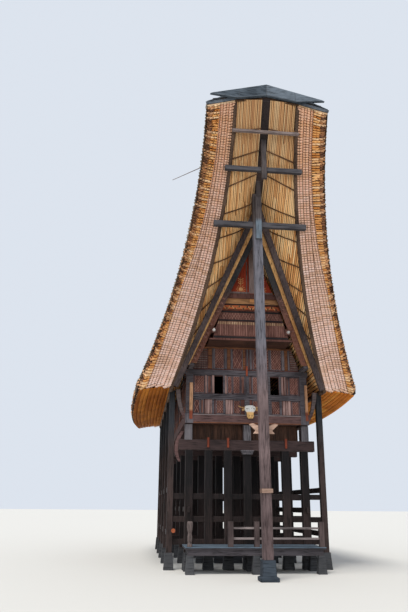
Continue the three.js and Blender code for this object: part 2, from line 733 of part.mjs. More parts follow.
function addGable(end, endName) {
  const across = (from, to) => span(end, from, to);
  const { lower, box: jetty, band, top } = GABLE;
  const face = BODY_HALF_LENGTH;
  const shoulder = SIDE_PLATE.top + 20;
  const lowerPanel = plate([
    [-lower.foot, PLATE_TOP + GAP], [lower.foot, PLATE_TOP + GAP], [lower.foot, shoulder],
    [lower.head, lower.top], [-lower.head, lower.top], [-lower.foot, shoulder],
  ], across(face - 110, face - 50));
  addPiece(`gable_lower_${endName}`, lowerPanel, CARVED_TIMBER);

  const shelf = lower.head - 150;
  const parts = [
    box([-shelf, shelf], across(face - 140, jetty.face), [lower.top + GAP, lower.top + 45]),
    gableBeams(end),
  ];
  const foot = lower.top + 10;
  parts.push(plate([
    [-jetty.foot, foot], [jetty.foot, foot], [jetty.head, jetty.top], [-jetty.head, jetty.top],
  ], across(jetty.face - 60, jetty.face)));
  for (const step of band) {
    parts.push(plate([
      [-step.foot, step.z[0]], [step.foot, step.z[0]], [step.head, step.z[1]], [-step.head, step.z[1]],
    ], across(jetty.face - 60, jetty.face + step.proud)));
  }
  addPiece(`gable_box_${endName}`, join(...parts), CARVED_TIMBER);

  const base = band[band.length - 1].z[1] + GAP;
  const panel = plate([[-top.foot, base], [top.foot, base], [0, top.apex]], across(top.face - 50, top.face));
  const stud = box([-70, 70], across(top.face - 50, top.face + 70), [base, 9500]);
  addPiece(`gable_top_${endName}`, cut(join(panel, stud), ridgeSpace()), RED_TIMBER);
}

// Deck in front of the house, with a railing that leaves the way in open

function addDeck() {
  const { half, front, top, board, beam, line, stones } = DECK;
  const back = ROW_PLACES[ROW_PLACES.length - 1] + POST_SIZE / 2 + GAP;
  const deckBottom = top - board;
  const parts = [box([-half, half], [-front, -back], [deckBottom, top])];
  for (const y of line.map((place) => -place)) {
    parts.push(box([-half + 60, half - 60], [y - 45, y + 45], [deckBottom - beam, deckBottom + 10]));
    for (const x of stones) {
      parts.push(taperedBlock([x, y], [0, deckBottom - beam + 10], 210, 150));
    }
  }
  for (const x of stones) {
    parts.push(box([x - 45, x + 45], [-line[0], -line[1]], [deckBottom - beam, deckBottom + 10]));
  }
  addPiece("deck", join(...parts), GREY_TIMBER);

  const y = -line[0];
  const newel = (x, width) => box(
    [x - width / 2, x + width / 2],
    [y - width / 2, y + width / 2],
    [top + GAP, NEWEL_TOP],
  );
  const rails = RAILING.rails.map((z) => box([RAILING.from, RAILING.to], [y - 25, y + 25], [z, z + 38]));
  const posts = RAILING.newels.map((x) => newel(x, 120));
  addPiece("deck_railing", join(...posts, ...rails), GREY_TIMBER);
  addPiece("deck_newel", newel(RAILING.entrance, 140), GREY_TIMBER);
}

// The carved buffalo head on the front sill

function addBuffaloHead() {
  const front = -(BODY_HALF_LENGTH + 20 + GAP);
  const face = new THREE.CylinderGeometry(150, 85, 350, 8);
  face.scale(1, 1, 0.55);
  face.rotateX(Math.PI / 2);
  face.rotateX(-0.2);
  face.translate(50, front - 115, 3865);
  const neck = box([-10, 110], [front - 120, front], [3700, 3900]);
  const horns = [-1, 1].map((side) => {
    const curve = new THREE.QuadraticBezierCurve3(
      new THREE.Vector3(50 + side * 60, front - 110, 3950),
      new THREE.Vector3(50 + side * 220, front - 120, 3900),
      new THREE.Vector3(50 + side * 300, front - 140, 3990),
    );
    const section = new THREE.Shape();
    section.absarc(0, 0, 22, 0, Math.PI * 2);
    return toSolid(new THREE.ExtrudeGeometry(section, { steps: 5, curveSegments: 3, extrudePath: curve }));
  });
  const behind = box([-500, 600], [front, front + 500], [3500, 4300]);
  addPiece("buffalo_head", cut(join(toSolid(face), neck, ...horns), behind), HORN);
}

addPiece("roof_left", roofSlope(-1), BAMBOO);
addPiece("roof_right", roofSlope(1), BAMBOO);
addPiece("ridge_beam", ridgeBeam(), DARK_TIMBER);
addPiece("ridge_cap", ridgeCap(), METAL);
addPiece("eave_pole_left", eavePole(-1), DARK_TIMBER);
addPiece("eave_pole_right", eavePole(1), DARK_TIMBER);
for (const [endName, end] of [["front", -1], ["back", 1]]) {
  addTies(end, endName);
  addHangers(end, endName);
  addGableTimbers(end, endName);
  addRidgePost(end, endName);
  addGable(end, endName);
  addEndWall(end, `${endName}_wall`);
}
addSideWall(-1, "left_wall");
addSideWall(1, "right_wall");
addSidePlates();
addPostRows();
addOuterPosts();
addFloor();
addDeck();
addBuffaloHead();

export default house;
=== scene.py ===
import math

import bmesh
import bpy
import numpy as np
from mathutils import Matrix, Vector


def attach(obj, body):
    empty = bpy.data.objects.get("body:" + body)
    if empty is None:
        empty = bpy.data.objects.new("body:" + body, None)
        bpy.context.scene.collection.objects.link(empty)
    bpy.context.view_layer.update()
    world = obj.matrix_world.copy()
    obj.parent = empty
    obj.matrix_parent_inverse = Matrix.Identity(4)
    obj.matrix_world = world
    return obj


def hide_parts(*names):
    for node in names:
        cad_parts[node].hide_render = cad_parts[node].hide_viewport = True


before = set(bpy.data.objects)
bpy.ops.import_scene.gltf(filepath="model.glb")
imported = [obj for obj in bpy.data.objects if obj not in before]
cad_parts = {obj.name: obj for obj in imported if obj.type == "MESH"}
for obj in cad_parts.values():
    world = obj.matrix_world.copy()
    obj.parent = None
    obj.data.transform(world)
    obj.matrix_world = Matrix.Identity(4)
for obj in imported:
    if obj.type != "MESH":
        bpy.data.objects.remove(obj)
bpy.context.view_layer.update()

# Posts under the house: square hardwood posts in rows across it, each standing on a cut stone
# and threaded on three rails that pass through it. The wood is painted near black for the shade
# under the house, and darker still higher up under the floor (painted shade); it is worn round
# and paler along its edges, and the stones are dressed slate.
SIDES = {"left": -1, "right": 1}
ENDS = {"front": -1, "back": 1}
POST_ROWS = range(1, 6)
STONE_TOP = 0.399
GRAIN = {"x": (0.7, 9, 9), "y": (9, 0.7, 9), "z": (9, 9, 0.7)}
TONE_PLACES = (0.36, 0.5, 0.64)


def add(tree, kind, inputs, operation=None):
    """A shader node with its inputs set to values or linked to sockets"""
    node = tree.nodes.new("ShaderNode" + kind)
    if operation:
        node.operation = operation
    for name, value in inputs.items():
        if isinstance(value, bpy.types.NodeSocket):
            tree.links.new(value, node.inputs[name])
        else:
            node.inputs[name].default_value = value
    return node


def ramp(tree, factor, tones):
    """A colour ramp through (place, r, g, b) tones"""
    node = add(tree, "ValToRGB", {"Fac": factor})
    band = node.color_ramp
    while len(band.elements) < len(tones):
        band.elements.new(0.5)
    for element, (place, *colour) in zip(band.elements, tones):
        element.position = place
        element.color = (*colour, 1)
    return node.outputs["Color"]


def timber(name, dark, pale, grain, roughness=0.75, higher=()):
    """Weathered wood with its grain along one axis of the house, every piece a little different.
    higher lists the heights between which its tones change, with the tones above."""
    material = bpy.data.materials.new(name)
    material.use_nodes = True
    tree = material.node_tree
    shader = tree.nodes["Principled BSDF"]
    place = add(tree, "TexCoord", {}).outputs["Object"]
    lines = add(tree, "Mapping", {"Vector": place, "Scale": GRAIN[grain]})
    fibre = add(tree, "TexNoise", {"Vector": lines.outputs[0], "Scale": 4.5, "Detail": 7, "Roughness": 0.65})
    weather = add(tree, "TexNoise", {"Vector": place, "Scale": 1.4, "Detail": 5, "Roughness": 0.6})
    island = add(tree, "NewGeometry", {}).outputs["Random Per Island"]
    own = add(tree, "Math", {0: island, 1: 0.16, 2: -0.08}, "MULTIPLY_ADD")
    both = add(tree, "Math", {0: fibre.outputs["Fac"], 1: weather.outputs["Fac"]}, "ADD")
    tone = add(tree, "Math", {0: both.outputs[0], 1: 0.5, 2: own.outputs[0]}, "MULTIPLY_ADD").outputs[0]

    def tones(low, high):
        middle = [(a + b) / 2 for a, b in zip(low, high)]
        return [(place, *tone) for place, tone in zip(TONE_PLACES, (low, middle, high))]

    body = ramp(tree, tone, tones(dark, pale))
    height = add(tree, "SeparateXYZ", {0: place}).outputs["Z"]
    for below, above, dark_high, pale_high in higher:
        share = add(tree, "MapRange", {"Value": height, "From Min": below, "From Max": above})
        above_tones = ramp(tree, tone, tones(dark_high, pale_high))
        body = add(tree, "MixRGB", {"Fac": share.outputs[0], "Color1": body, "Color2": above_tones}).outputs[0]
    cracks = ramp(tree, fibre.outputs["Fac"], [(0.34, 0.35, 0.35, 0.35), (0.46, 1, 1, 1)])
    colour = add(tree, "MixRGB", {"Fac": 1.0, "Color1": body, "Color2": cracks})
    colour.blend_type = "MULTIPLY"
    tree.links.new(colour.outputs[0], shader.inputs["Base Color"])
    relief = add(tree, "Bump", {"Height": fibre.outputs["Fac"], "Strength": 0.4, "Distance": 0.006})
    tree.links.new(relief.outputs[0], shader.inputs["Normal"])
    shader.inputs["Roughness"].default_value = roughness
    shader.inputs["Specular IOR Level"].default_value = 0.22
    return material


def show(name, mesh, materials):
    """Puts a finished mesh in the scene, on the house's one body"""
    work = bmesh.new()
    work.from_mesh(mesh)
    bmesh.ops.recalc_face_normals(work, faces=work.faces)
    work.to_mesh(mesh)
    work.free()
    for material in materials:
        mesh.materials.append(material)
    piece = bpy.data.objects.new(name, mesh)
    bpy.context.scene.collection.objects.link(piece)
    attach(piece, "root")
    return piece


def dress(node, materials, bevel=0.010, pick=None):
    """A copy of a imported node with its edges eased. The eased edges take the second material, and
    pick(middle of a face) may name another."""
    work = bmesh.new()
    work.from_mesh(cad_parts[node].data)
    bmesh.ops.remove_doubles(work, verts=work.verts, dist=0.0006)
    bmesh.ops.dissolve_limit(work, angle_limit=0.001, verts=work.verts, edges=work.edges)
    sharp = [edge for edge in work.edges if edge.is_manifold and edge.calc_face_angle(0) > 0.5]
    eased = bmesh.ops.bevel(
        work, geom=sharp, offset=bevel, offset_type="OFFSET", segments=1, profile=0.5,
        affect="EDGES", clamp_overlap=True, material=-1,
    )
    for face in eased["faces"]:
        face.material_index = 1
    if pick:
        for face in work.faces:
            choice = pick(face.calc_center_median())
            if choice is not None:
                face.material_index = choice
    mesh = bpy.data.meshes.new(node + "_worn")
    work.to_mesh(mesh)
    work.free()
    piece = show(node + "_worn", mesh, materials)
    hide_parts(node)
    return piece


def foot_stones(middle):
    return 2 if middle.z < STONE_TOP else None


# Painted shade: the posts darken further above 1.3 m, under the floor.
shaded = [(1.3, 2.1, (0.001, 0.001, 0.0015), (0.010, 0.007, 0.008))]
dark_upright = timber("dark_upright_timber", (0.005, 0.003, 0.0027), (0.034, 0.021, 0.019), "z", higher=shaded)
greyed = [(2.9, 3.6, (0.008, 0.009, 0.011), (0.036, 0.039, 0.045))]
outer_upright = timber("outer_upright_timber", (0.012, 0.008, 0.007), (0.056, 0.036, 0.033), "z", higher=greyed)
dark_long = timber("dark_long_timber", (0.009, 0.006, 0.006), (0.044, 0.028, 0.024), "y")
worn_edge = timber("worn_timber_edge", (0.018, 0.013, 0.013), (0.068, 0.050, 0.046), "z")
slate = timber("foot_stone", (0.020, 0.021, 0.024), (0.068, 0.070, 0.075), "x", 0.9)
for row in POST_ROWS:
    dress(f"post_row_{row}", [dark_upright, worn_edge, slate], 0.008, foot_stones)
for side in SIDES:
    dress(f"outer_posts_{side}", [outer_upright, worn_edge, slate], 0.008, foot_stones)
    dress(f"side_rail_{side}", [dark_long, worn_edge], 0.008)

# Beams on the posts: one heavy beam over each row, with three blocks on it for the floor frame.
# The outermost beams carry red painted pegs, and the middle post has a stepped head of pale wood.
HEADER_FACE = 3.80
BLOCKS = {"at": [-1.55, 0, 1.55], "z": (3.125, 3.53), "width": 0.200, "proud": 0.016}
PEGS = {"at": [-1.03, -0.51, 0.53, 1.03], "z": (2.94, 3.19), "width": 0.055, "proud": 0.035}
POST_HEAD = {"at": -0.01, "face": 3.795, "thick": 0.034, "inner": 0.06}
HEAD_STEPS = [(2.7925, 0.275), (2.8275, 0.305), (2.8625, 0.340)]
EASE = 0.1


def unit(vectors):
    return vectors / np.linalg.norm(vectors, axis=-1, keepdims=True)


def lay(name, pattern, count, put, materials):
    """Copies the pattern so many times, and put() moves the copies' points, an array of copies
    by points by x, y, z."""
    plain = bpy.data.meshes.new(name + "_pattern")
    pattern.to_mesh(plain)
    pattern.free()
    work = bmesh.new()
    work.from_mesh(plain)
    bpy.data.meshes.remove(plain)
    sizes = [len(work.verts), len(work.edges), len(work.faces)]
    made = 1
    while made < count:
        more = min(made, count - made)
        parts = [work.verts[:more * sizes[0]], work.edges[:more * sizes[1]], work.faces[:more * sizes[2]]]
        bmesh.ops.duplicate(work, geom=parts[0] + parts[1] + parts[2])
        made += more
    mesh = bpy.data.meshes.new(name)
    work.to_mesh(mesh)
    work.free()
    flat = np.empty(count * sizes[0] * 3, np.float32)
    mesh.vertices.foreach_get("co", flat)
    placed = put(flat.reshape(count, sizes[0], 3).astype(float))
    mesh.vertices.foreach_set("co", placed.astype(np.float32).reshape(-1))
    return show(name, mesh, materials)


def bars(name, rows, materials, soft=0.004):
    """Square pieces with eased edges. A row is both ends, a direction across, the width along it
    and the depth at right angles to it."""
    rows = np.array(rows, float)
    start, end, across = rows[:, 0:3], rows[:, 3:6], rows[:, 6:9]
    along = unit(end - start)
    across = unit(across - (across * along).sum(1, keepdims=True) * along)
    deep = np.cross(along, across)
    length = np.linalg.norm(end - start, axis=1)
    half = np.stack([length, rows[:, 9], rows[:, 10]], 1) / 2
    easing = np.minimum(soft, half.min(1) * 0.4)
    pattern = bmesh.new()
    bmesh.ops.create_cube(pattern, size=2)
    bmesh.ops.bevel(
        pattern, geom=pattern.edges[:], offset=EASE, offset_type="OFFSET", segments=1, profile=0.5,
        affect="EDGES", clamp_overlap=True, material=-1,
    )

    def put(points):
        inside = (1 - np.abs(points)) / EASE
        local = np.sign(points) * (half[:, None] - inside * easing[:, None, None])
        return (
            ((start + end) / 2)[:, None] + along[:, None] * local[..., 0:1]
            + across[:, None] * local[..., 1:2] + deep[:, None] * local[..., 2:3]
        )

    return lay(name, pattern, len(rows), put, materials)


WALLS = {
    "front": ((1, 0, 0), (0, -1, 0)), "back": ((1, 0, 0), (0, 1, 0)),
    "left": ((0, 1, 0), (-1, 0, 0)), "right": ((0, 1, 0), (1, 0, 0)),
}
UP = np.array([0, 0, 1.0])
LET_IN = 0.006


def carve(name, wall, cuts, materials):
    """Strips standing proud of a wall: middle along and up, length, width, turn in degrees, how
    far the wall's face is from the middle of the house, and how far the strip stands out."""
    level, out = (np.array(axis, float) for axis in WALLS[wall])
    rows = []
    for along, up, length, width, turn, face, proud in cuts:
        angle = math.radians(turn)
        way = level * math.cos(angle) + UP * math.sin(angle)
        across = UP * math.cos(angle) - level * math.sin(angle)
        middle = level * along + UP * up + out * (face + (proud - LET_IN) / 2)
        rows.append([*(middle - way * length / 2), *(middle + way * length / 2), *across, width, proud + LET_IN])
    return bars(name, rows, materials)


brown_cross = timber("brown_cross_timber", (0.017, 0.010, 0.010), (0.070, 0.042, 0.040), "x")
pale_block = timber("pale_block_timber", (0.050, 0.046, 0.052), (0.17, 0.155, 0.165), "z")
red_paint = timber("red_painted_pegs", (0.11, 0.020, 0.010), (0.34, 0.075, 0.032), "z")
for row in POST_ROWS:
    dress(f"header_{row}", [brown_cross, worn_edge], 0.010)
for end in ENDS:
    low, high = PEGS["z"]
    peg = ((low + high) / 2, PEGS["width"], high - low, 0, HEADER_FACE, PEGS["proud"])
    carve(f"header_pegs_{end}", end, [(x, *peg) for x in PEGS["at"]], [red_paint])
    low, high = BLOCKS["z"]
    facing = ((low + high) / 2, high - low, BLOCKS["width"], 90, HEADER_FACE, BLOCKS["proud"])
    carve(f"block_facings_{end}", end, [(x, *facing) for x in BLOCKS["at"]], [pale_block])
    heads = []
    for z, width in HEAD_STEPS:
        proud = (width - 0.05) / 2 - POST_HEAD["inner"]
        heads.append((POST_HEAD["at"], z, width, POST_HEAD["thick"], 0, POST_HEAD["face"], proud))
    carve(f"stepped_head_{end}", end, heads, [pale_block])

# Floor: sills joined round the house, with upturned horns and the corner posts' feet over them,
# the boarded floor in them, and a skirt of upright boards below. The end sills are rubbed along
# the top, their bottom edge is painted orange as painted light where light catches it from below,
# and a small curved bracket hangs at their left corner.
SILL = {"half": 1.655, "face": 3.90}
SILL_EDGES = [("sill_line", "grey_timber", 3.775, 0.022, 0.007), ("sill_foot", "carved_timber", 3.565, 0.028, 0.005)]
POST_FEET = {"at": (-1.545, 1.545), "size": (3.672, 0.250, 0.215, 90, SILL["face"], 0.010)}
SKIRT_BOARDS = {"pitch": 0.094, "share": 0.86, "first": 0.03, "z": (3.16, 3.55), "proud": 0.012}
SKIRT_SIDES = {"front": (3.54, 1.40), "back": (3.54, 1.40), "left": (1.42, 3.50), "right": (1.42, 3.50)}
BRACKET = {"y": 3.74, "line": [(-1.70, 3.34), (-1.98, 2.95), (-1.77, 2.58)]}
BRACKET_SHAPE = [(0, 0.050, 0.03), (0.25, 0.055, 0.03), (0.5, 0.055, 0.03), (0.75, 0.050, 0.03), (1, 0.035, 0.03)]
horn_grey = [(3.79, 3.89, (0.036, 0.027, 0.026), (0.130, 0.098, 0.095))]
sill_brown = timber("sill_timber", (0.035, 0.018, 0.017), (0.125, 0.068, 0.064), "x", higher=horn_grey)
# Painted light: the sills' bottom edge is painted orange where light catches it.
sill_edge_painted_light = timber("lit_lower_edge_painted_light", (0.07, 0.024, 0.012), (0.22, 0.085, 0.042), "x")
skirt_brown = timber("skirt_boards", (0.022, 0.010, 0.006), (0.090, 0.042, 0.026), "z")
dressed_line = timber("rubbed_line_timber", (0.11, 0.088, 0.088), (0.27, 0.225, 0.22), "x")
corner_grey = timber("corner_post_feet", (0.038, 0.034, 0.040), (0.150, 0.135, 0.148), "z")
dress("floor_frame", [sill_brown, worn_edge], 0.010)
dress("floor", [brown_cross, worn_edge], 0.006)
dress("floor_skirt", [skirt_brown, worn_edge], 0.006)
for end in ENDS:
    for (name, slot, z, width, proud), wood in zip(SILL_EDGES, (dressed_line, sill_edge_painted_light)):
        carve(f"{name}_{end}", end, [(0, z, 2 * SILL["half"], width, 0, SILL["face"], proud)], [wood])
    feet = [(x, *POST_FEET["size"]) for x in POST_FEET["at"]]
    carve(f"corner_post_feet_{end}", end, feet, [corner_grey])
for wall, (face, reach) in SKIRT_SIDES.items():
    low, high = SKIRT_BOARDS["z"]
    width = SKIRT_BOARDS["pitch"] * SKIRT_BOARDS["share"]
    board = ((low + high) / 2, width, high - low, 0, face, SKIRT_BOARDS["proud"])
    boards = [(x, *board) for x in np.arange(-reach, reach, SKIRT_BOARDS["pitch"]) + SKIRT_BOARDS["first"]]
    carve(f"skirt_boards_{wall}", wall, boards, [skirt_brown])


def rod(sides, steps, hollow=0):
    """A round rod of radius 1 from x = 0 to x = 1; hollow is how deep its far end is sunk"""
    piece = bmesh.new()
    upright = Matrix.Rotation(math.pi / 2, 4, "Y")
    bmesh.ops.create_circle(piece, cap_ends=True, segments=sides, radius=1, matrix=upright)
    start = piece.verts[:] + piece.edges[:] + piece.faces[:]
    bmesh.ops.spin(piece, geom=start, cent=(0, 0, 0), axis=(1, 0, 0), dvec=(1 / steps, 0, 0), angle=0, steps=steps)
    bmesh.ops.recalc_face_normals(piece, faces=piece.faces)
    uv = piece.loops.layers.uv.new("UVMap")
    for face in piece.faces:
        middle = face.calc_center_median()
        for loop in face.loops:
            turn = math.atan2(loop.vert.co.z, loop.vert.co.y) / math.tau
            if abs(math.atan2(middle.z, middle.y) / math.tau - turn) > 0.5:
                turn += 1
            loop[uv].uv = (loop.vert.co.x, turn)
    if hollow:
        end = [face for face in piece.faces if face.calc_center_median().x > 0.999]
        bmesh.ops.inset_individual(piece, faces=end, thickness=0.22, depth=0)
        bmesh.ops.translate(piece, verts=end[0].verts, vec=(-hollow, 0, 0))
        end[0].material_index = 1
    return piece


def bent(line, way):
    """Points on the way from a line's first point to its last, drawn towards the one between"""
    start, middle, end = (np.array(point) for point in line)
    return (1 - way) ** 2 * start + 2 * way * (1 - way) * middle + way**2 * end


def shaped(name, line, shape, squareness, pattern, materials):
    """One upright bar cut to a shape. line is its start, the point it bends towards and its end;
    shape lists the share of the way with half the width and half the depth there."""
    shares, widths, depths = zip(*shape)

    def put(points):
        along = points[..., 0]
        cut = np.sign(points) * np.abs(points) ** squareness
        wide, deep = cut[..., 1] * np.interp(along, shares, widths), cut[..., 2] * np.interp(along, shares, depths)
        return bent(line, along[..., None]) + np.stack([wide, deep, 0 * along], -1)

    return lay(name, pattern, 1, put, materials)


for end, out in ENDS.items():
    line = [(x, out * BRACKET["y"], z) for x, z in BRACKET["line"]]
    shaped(f"corner_bracket_{end}", line, BRACKET_SHAPE, 0.5, rod(8, 12), [sill_brown])

# Deck in front of the house: planks on a low frame with its own stones, greyed by the sun. Its
# thin rails run between square newels, and the carved newel beside the way in stands alone.
PLANK = {"width": 0.149, "gap": 0.005, "from": -4.862, "to": -3.80, "half": 1.667, "z": 0.578, "thick": 0.022}
RAIL = {"from": -0.6, "to": 1.58, "y": -4.78, "z": (0.774, 1.004), "size": (0.058, 0.046)}
NEWEL = [(-1.56, -4.78, z) for z in (0.578, 0.863, 1.148)]
NEWEL_SHAPE = [
    (share, half, half) for share, half in (
        (0, 0.062), (0.10, 0.062), (0.15, 0.044), (0.28, 0.060), (0.42, 0.056), (0.54, 0.042), (0.66, 0.060),
        (0.80, 0.070), (0.94, 0.070), (1, 0.052),
    )
]
KNOB = [-1.90, -3.76, 0.91, -1.90, -3.93, 0.91, 0.030, 0.052]


def between(start, end, across, radius):
    """A put() for round pieces that run from start to end, with a radius at each end. across is a
    direction that none of them runs in."""
    along = unit(end - start)
    wide = unit(np.cross(across, along))
    thick = np.cross(along, wide)

    def put(points):
        size = radius[0][:, None, None] + (radius[1] - radius[0])[:, None, None] * points[..., 0:1]
        return (
            start[:, None] + (end - start)[:, None] * points[..., 0:1]
            + wide[:, None] * points[..., 1:2] * size + thick[:, None] * points[..., 2:3] * size
        )

    return put


def rods(name, rows, materials, sides=8):
    """Straight round pieces: both ends, and the radius at each"""
    rows = np.array(rows, float)
    start, end = rows[:, 0:3], rows[:, 3:6]
    upright = np.abs(unit(end - start)[:, 2:3]) > 0.9
    across = np.where(upright, [[1.0, 0, 0]], [[0, 0, 1.0]])
    return lay(name, rod(sides, 1), len(rows), between(start, end, across, rows[:, 6:8].T), materials)


deck_grey = timber("sunned_deck_timber", (0.035, 0.050, 0.068), (0.105, 0.145, 0.185), "x")
deck_brown = timber("deck_frame_timber", (0.014, 0.012, 0.014), (0.060, 0.053, 0.060), "x")
rail_grey = timber("thin_rail_timber", (0.090, 0.075, 0.075), (0.27, 0.225, 0.22), "x")
newel_brown = timber("newel_timber", (0.022, 0.015, 0.015), (0.088, 0.063, 0.061), "z")
newel_pale = timber("carved_newel_timber", (0.030, 0.022, 0.021), (0.115, 0.088, 0.083), "z")
knob_orange = timber("orange_knob", (0.16, 0.035, 0.012), (0.40, 0.11, 0.045), "y")
dress("deck", [deck_brown, worn_edge, slate], 0.008, foot_stones)
dress("deck_railing", [newel_brown, worn_edge], 0.006)
planks = []
for y in np.arange(PLANK["from"] + PLANK["width"] / 2, PLANK["to"], PLANK["width"] + PLANK["gap"]):
    half = PLANK["half"]
    planks.append([-half, y, PLANK["z"], half, y, PLANK["z"], 0, 1, 0, PLANK["width"], PLANK["thick"]])
bars("deck_planks", planks, [deck_grey])
rails = [[RAIL["from"], RAIL["y"], z, RAIL["to"], RAIL["y"], z, 0, 1, 0, *RAIL["size"]] for z in RAIL["z"]]
bars("deck_rails", rails, [rail_grey])
newel = shaped("deck_newel_carved", NEWEL, NEWEL_SHAPE, 0.6, rod(16, 24), [newel_pale])
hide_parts("deck_newel")
rods("post_knob", [KNOB], [knob_orange], 12)

# End walls: frames of grey-brown timber filled with boards that are carved, painted and set a
# little back. Each panel shows crossed strips or thin uprights, raised from the ground round
# them, and the corner posts carry a strip that is painted tan above and red below.
FRAME_FACE = 3.88
PANEL_FACE = 3.83
UPPER_ROW = (4.345, 4.832)
LOWER_ROW = (3.805, 4.182)
UPPER_PANELS = [
    (-1.43, -1.13, "crossed"), (-1.07, -0.95, "uprights"), (-0.53, -0.39, "wide"), (-0.38, -0.17, "crossed"),
    (-0.16, -0.05, "uprights"), (0.05, 0.14, "uprights"), (0.15, 0.34, "crossed"), (0.36, 0.57, "crossed"),
    (1.075, 1.155, "uprights"), (1.16, 1.43, "crossed"),
]
LOWER_PANELS = [
    (-1.43, -1.26, "wide"), (-1.25, -1.15, "uprights"), (-0.84, -0.59, "crossed"), (-0.37, -0.17, "crossed"),
    (0.14, 0.34, "crossed"), (0.36, 0.60, "uprights"), (0.65, 0.95, "crossed"), (1.21, 1.43, "crossed"),
]
PALE_JAMBS = [(-0.91, 0.060), (-0.565, 0.055), (0.97, 0.050), (1.045, 0.036), (-1.10, 0.045)]
PALE_BOARDS = [(-1.03, 0.20), (-0.48, 0.19), (1.08, 0.22)]
PALE_PROUD = 0.038
CORNER_STRIPS = [(-1.50, 0.088), (1.605, 0.070)]
STRIP_HEIGHT = (4.13, 0.96)
STUDS = [(0, 3.99, 0.38, 0.13, 90, PANEL_FACE, 0.045), (0.02, 4.59, 0.49, 0.05, 90, PANEL_FACE, 0.05)]
MID_LINES = [(0, z, 2.9, 0.030, 0, 3.86, 0.010) for z in (4.205, 4.315)]
LINE = {"width": 0.014, "proud": 0.010, "under": 0.002}
CROSSINGS = {"crossed": (0.062, 52), "wide": (0.115, 62)}
UPRIGHT_PITCH = 0.034
MARGIN = 0.022


def crossed(left, right, low, high, pitch, lean, face=PANEL_FACE):
    """Strips that cross each other at a slant and fill a panel"""
    cuts = []
    rise = math.tan(math.radians(lean))
    for foot in np.arange(left - (high - low) / rise + pitch / 2, right, pitch):
        start, stop = max(left, foot), min(right, foot + (high - low) / rise)
        if stop - start > LINE["width"]:
            middle, length = (start + stop) / 2, (stop - start) / math.cos(math.radians(lean))
            up = low + rise * (middle - foot)
            cuts.append((middle, up, length, LINE["width"], lean, face, LINE["proud"]))
            mirrored = left + right - middle
            cuts.append((mirrored, up, length, LINE["width"], -lean, face, LINE["proud"] - LINE["under"]))
    return cuts


def uprights(left, right, low, high, pitch, share=0.55, face=PANEL_FACE):
    """Upright strips side by side, each as wide as its share of the pitch"""
    count = max(1, round((right - left) / pitch))
    size = ((low + high) / 2, high - low, pitch * share, 90, face, LINE["proud"])
    return [(left + (right - left) * (number + 0.5) / count, *size) for number in range(count)]


def around(left, right, low, high, face=PANEL_FACE, width=0.020, proud=0.014):
    """A frame round a panel"""
    middle, up = (left + right) / 2, (low + high) / 2
    level = [(middle, z, right - left, width, 0, face, proud) for z in (low + width / 2, high - width / 2)]
    return level + [(x, up, high - low, width, 90, face, proud) for x in (left + width / 2, right - width / 2)]


def carved_row(panels, low, high):
    """The carving in a row of panels, and the frames round them"""
    carving, frames = [], []
    for left, right, kind in panels:
        inner = (left + MARGIN, right - MARGIN, low + MARGIN, high - MARGIN)
        carving += crossed(*inner, *CROSSINGS[kind]) if kind in CROSSINGS else uprights(*inner, UPRIGHT_PITCH)
        frames += around(left, right, low, high)
    return carving, frames


wall_red = timber("carved_panel_ground", (0.046, 0.017, 0.015), (0.165, 0.066, 0.054), "z")
wall_grey = timber("wall_frame_timber", (0.040, 0.035, 0.040), (0.148, 0.128, 0.140), "x")
wall_post = timber("wall_corner_timber", (0.050, 0.045, 0.053), (0.180, 0.164, 0.180), "z")
carving_pink = timber("carving_ridges", (0.115, 0.048, 0.036), (0.32, 0.160, 0.125), "z")
carving_edge = timber("panel_edges", (0.050, 0.040, 0.046), (0.17, 0.145, 0.155), "z")
pale_pink = timber("pale_pink_boards", (0.15, 0.085, 0.075), (0.37, 0.24, 0.215), "z")
tan_above = [(3.85, 3.91, (0.26, 0.125, 0.065), (0.60, 0.34, 0.19))]
corner_tan = timber("tan_corner_strip", (0.10, 0.022, 0.010), (0.27, 0.065, 0.030), "z", 0.7, tan_above)


def wall_parts(middle):
    """The frame's faces take the frame's timber, and the corner posts their own"""
    if abs(middle.y) < FRAME_FACE - 0.03:
        return None
    return 2 if abs(middle.x) < 1.44 or middle.z > 4.84 else 3


for end in ENDS:
    dress(f"{end}_wall", [wall_red, worn_edge, wall_grey, wall_post], 0.006, wall_parts)
    ridges, edges = carved_row(UPPER_PANELS, *UPPER_ROW)
    more_ridges, more_edges = carved_row(LOWER_PANELS, *LOWER_ROW)
    low, high = UPPER_ROW
    pale = [(x, (low + high) / 2, high - low, width, 90, PANEL_FACE, PALE_PROUD) for x, width in PALE_JAMBS]
    for x, width in PALE_BOARDS:
        pale += uprights(x - width / 2, x + width / 2, *LOWER_ROW, width / 3, 0.85)
    carve(f"wall_ridges_{end}", end, ridges + more_ridges, [carving_pink])
    carve(f"wall_panel_edges_{end}", end, edges + more_edges, [carving_edge])
    carve(f"wall_pale_boards_{end}", end, pale, [pale_pink])
    strips = [(x, *STRIP_HEIGHT, width, 90, FRAME_FACE, 0.045) for x, width in CORNER_STRIPS]
    carve(f"corner_strips_{end}", end, strips, [corner_tan])
    carve(f"wall_studs_{end}", end, STUDS + MID_LINES, [wall_grey])

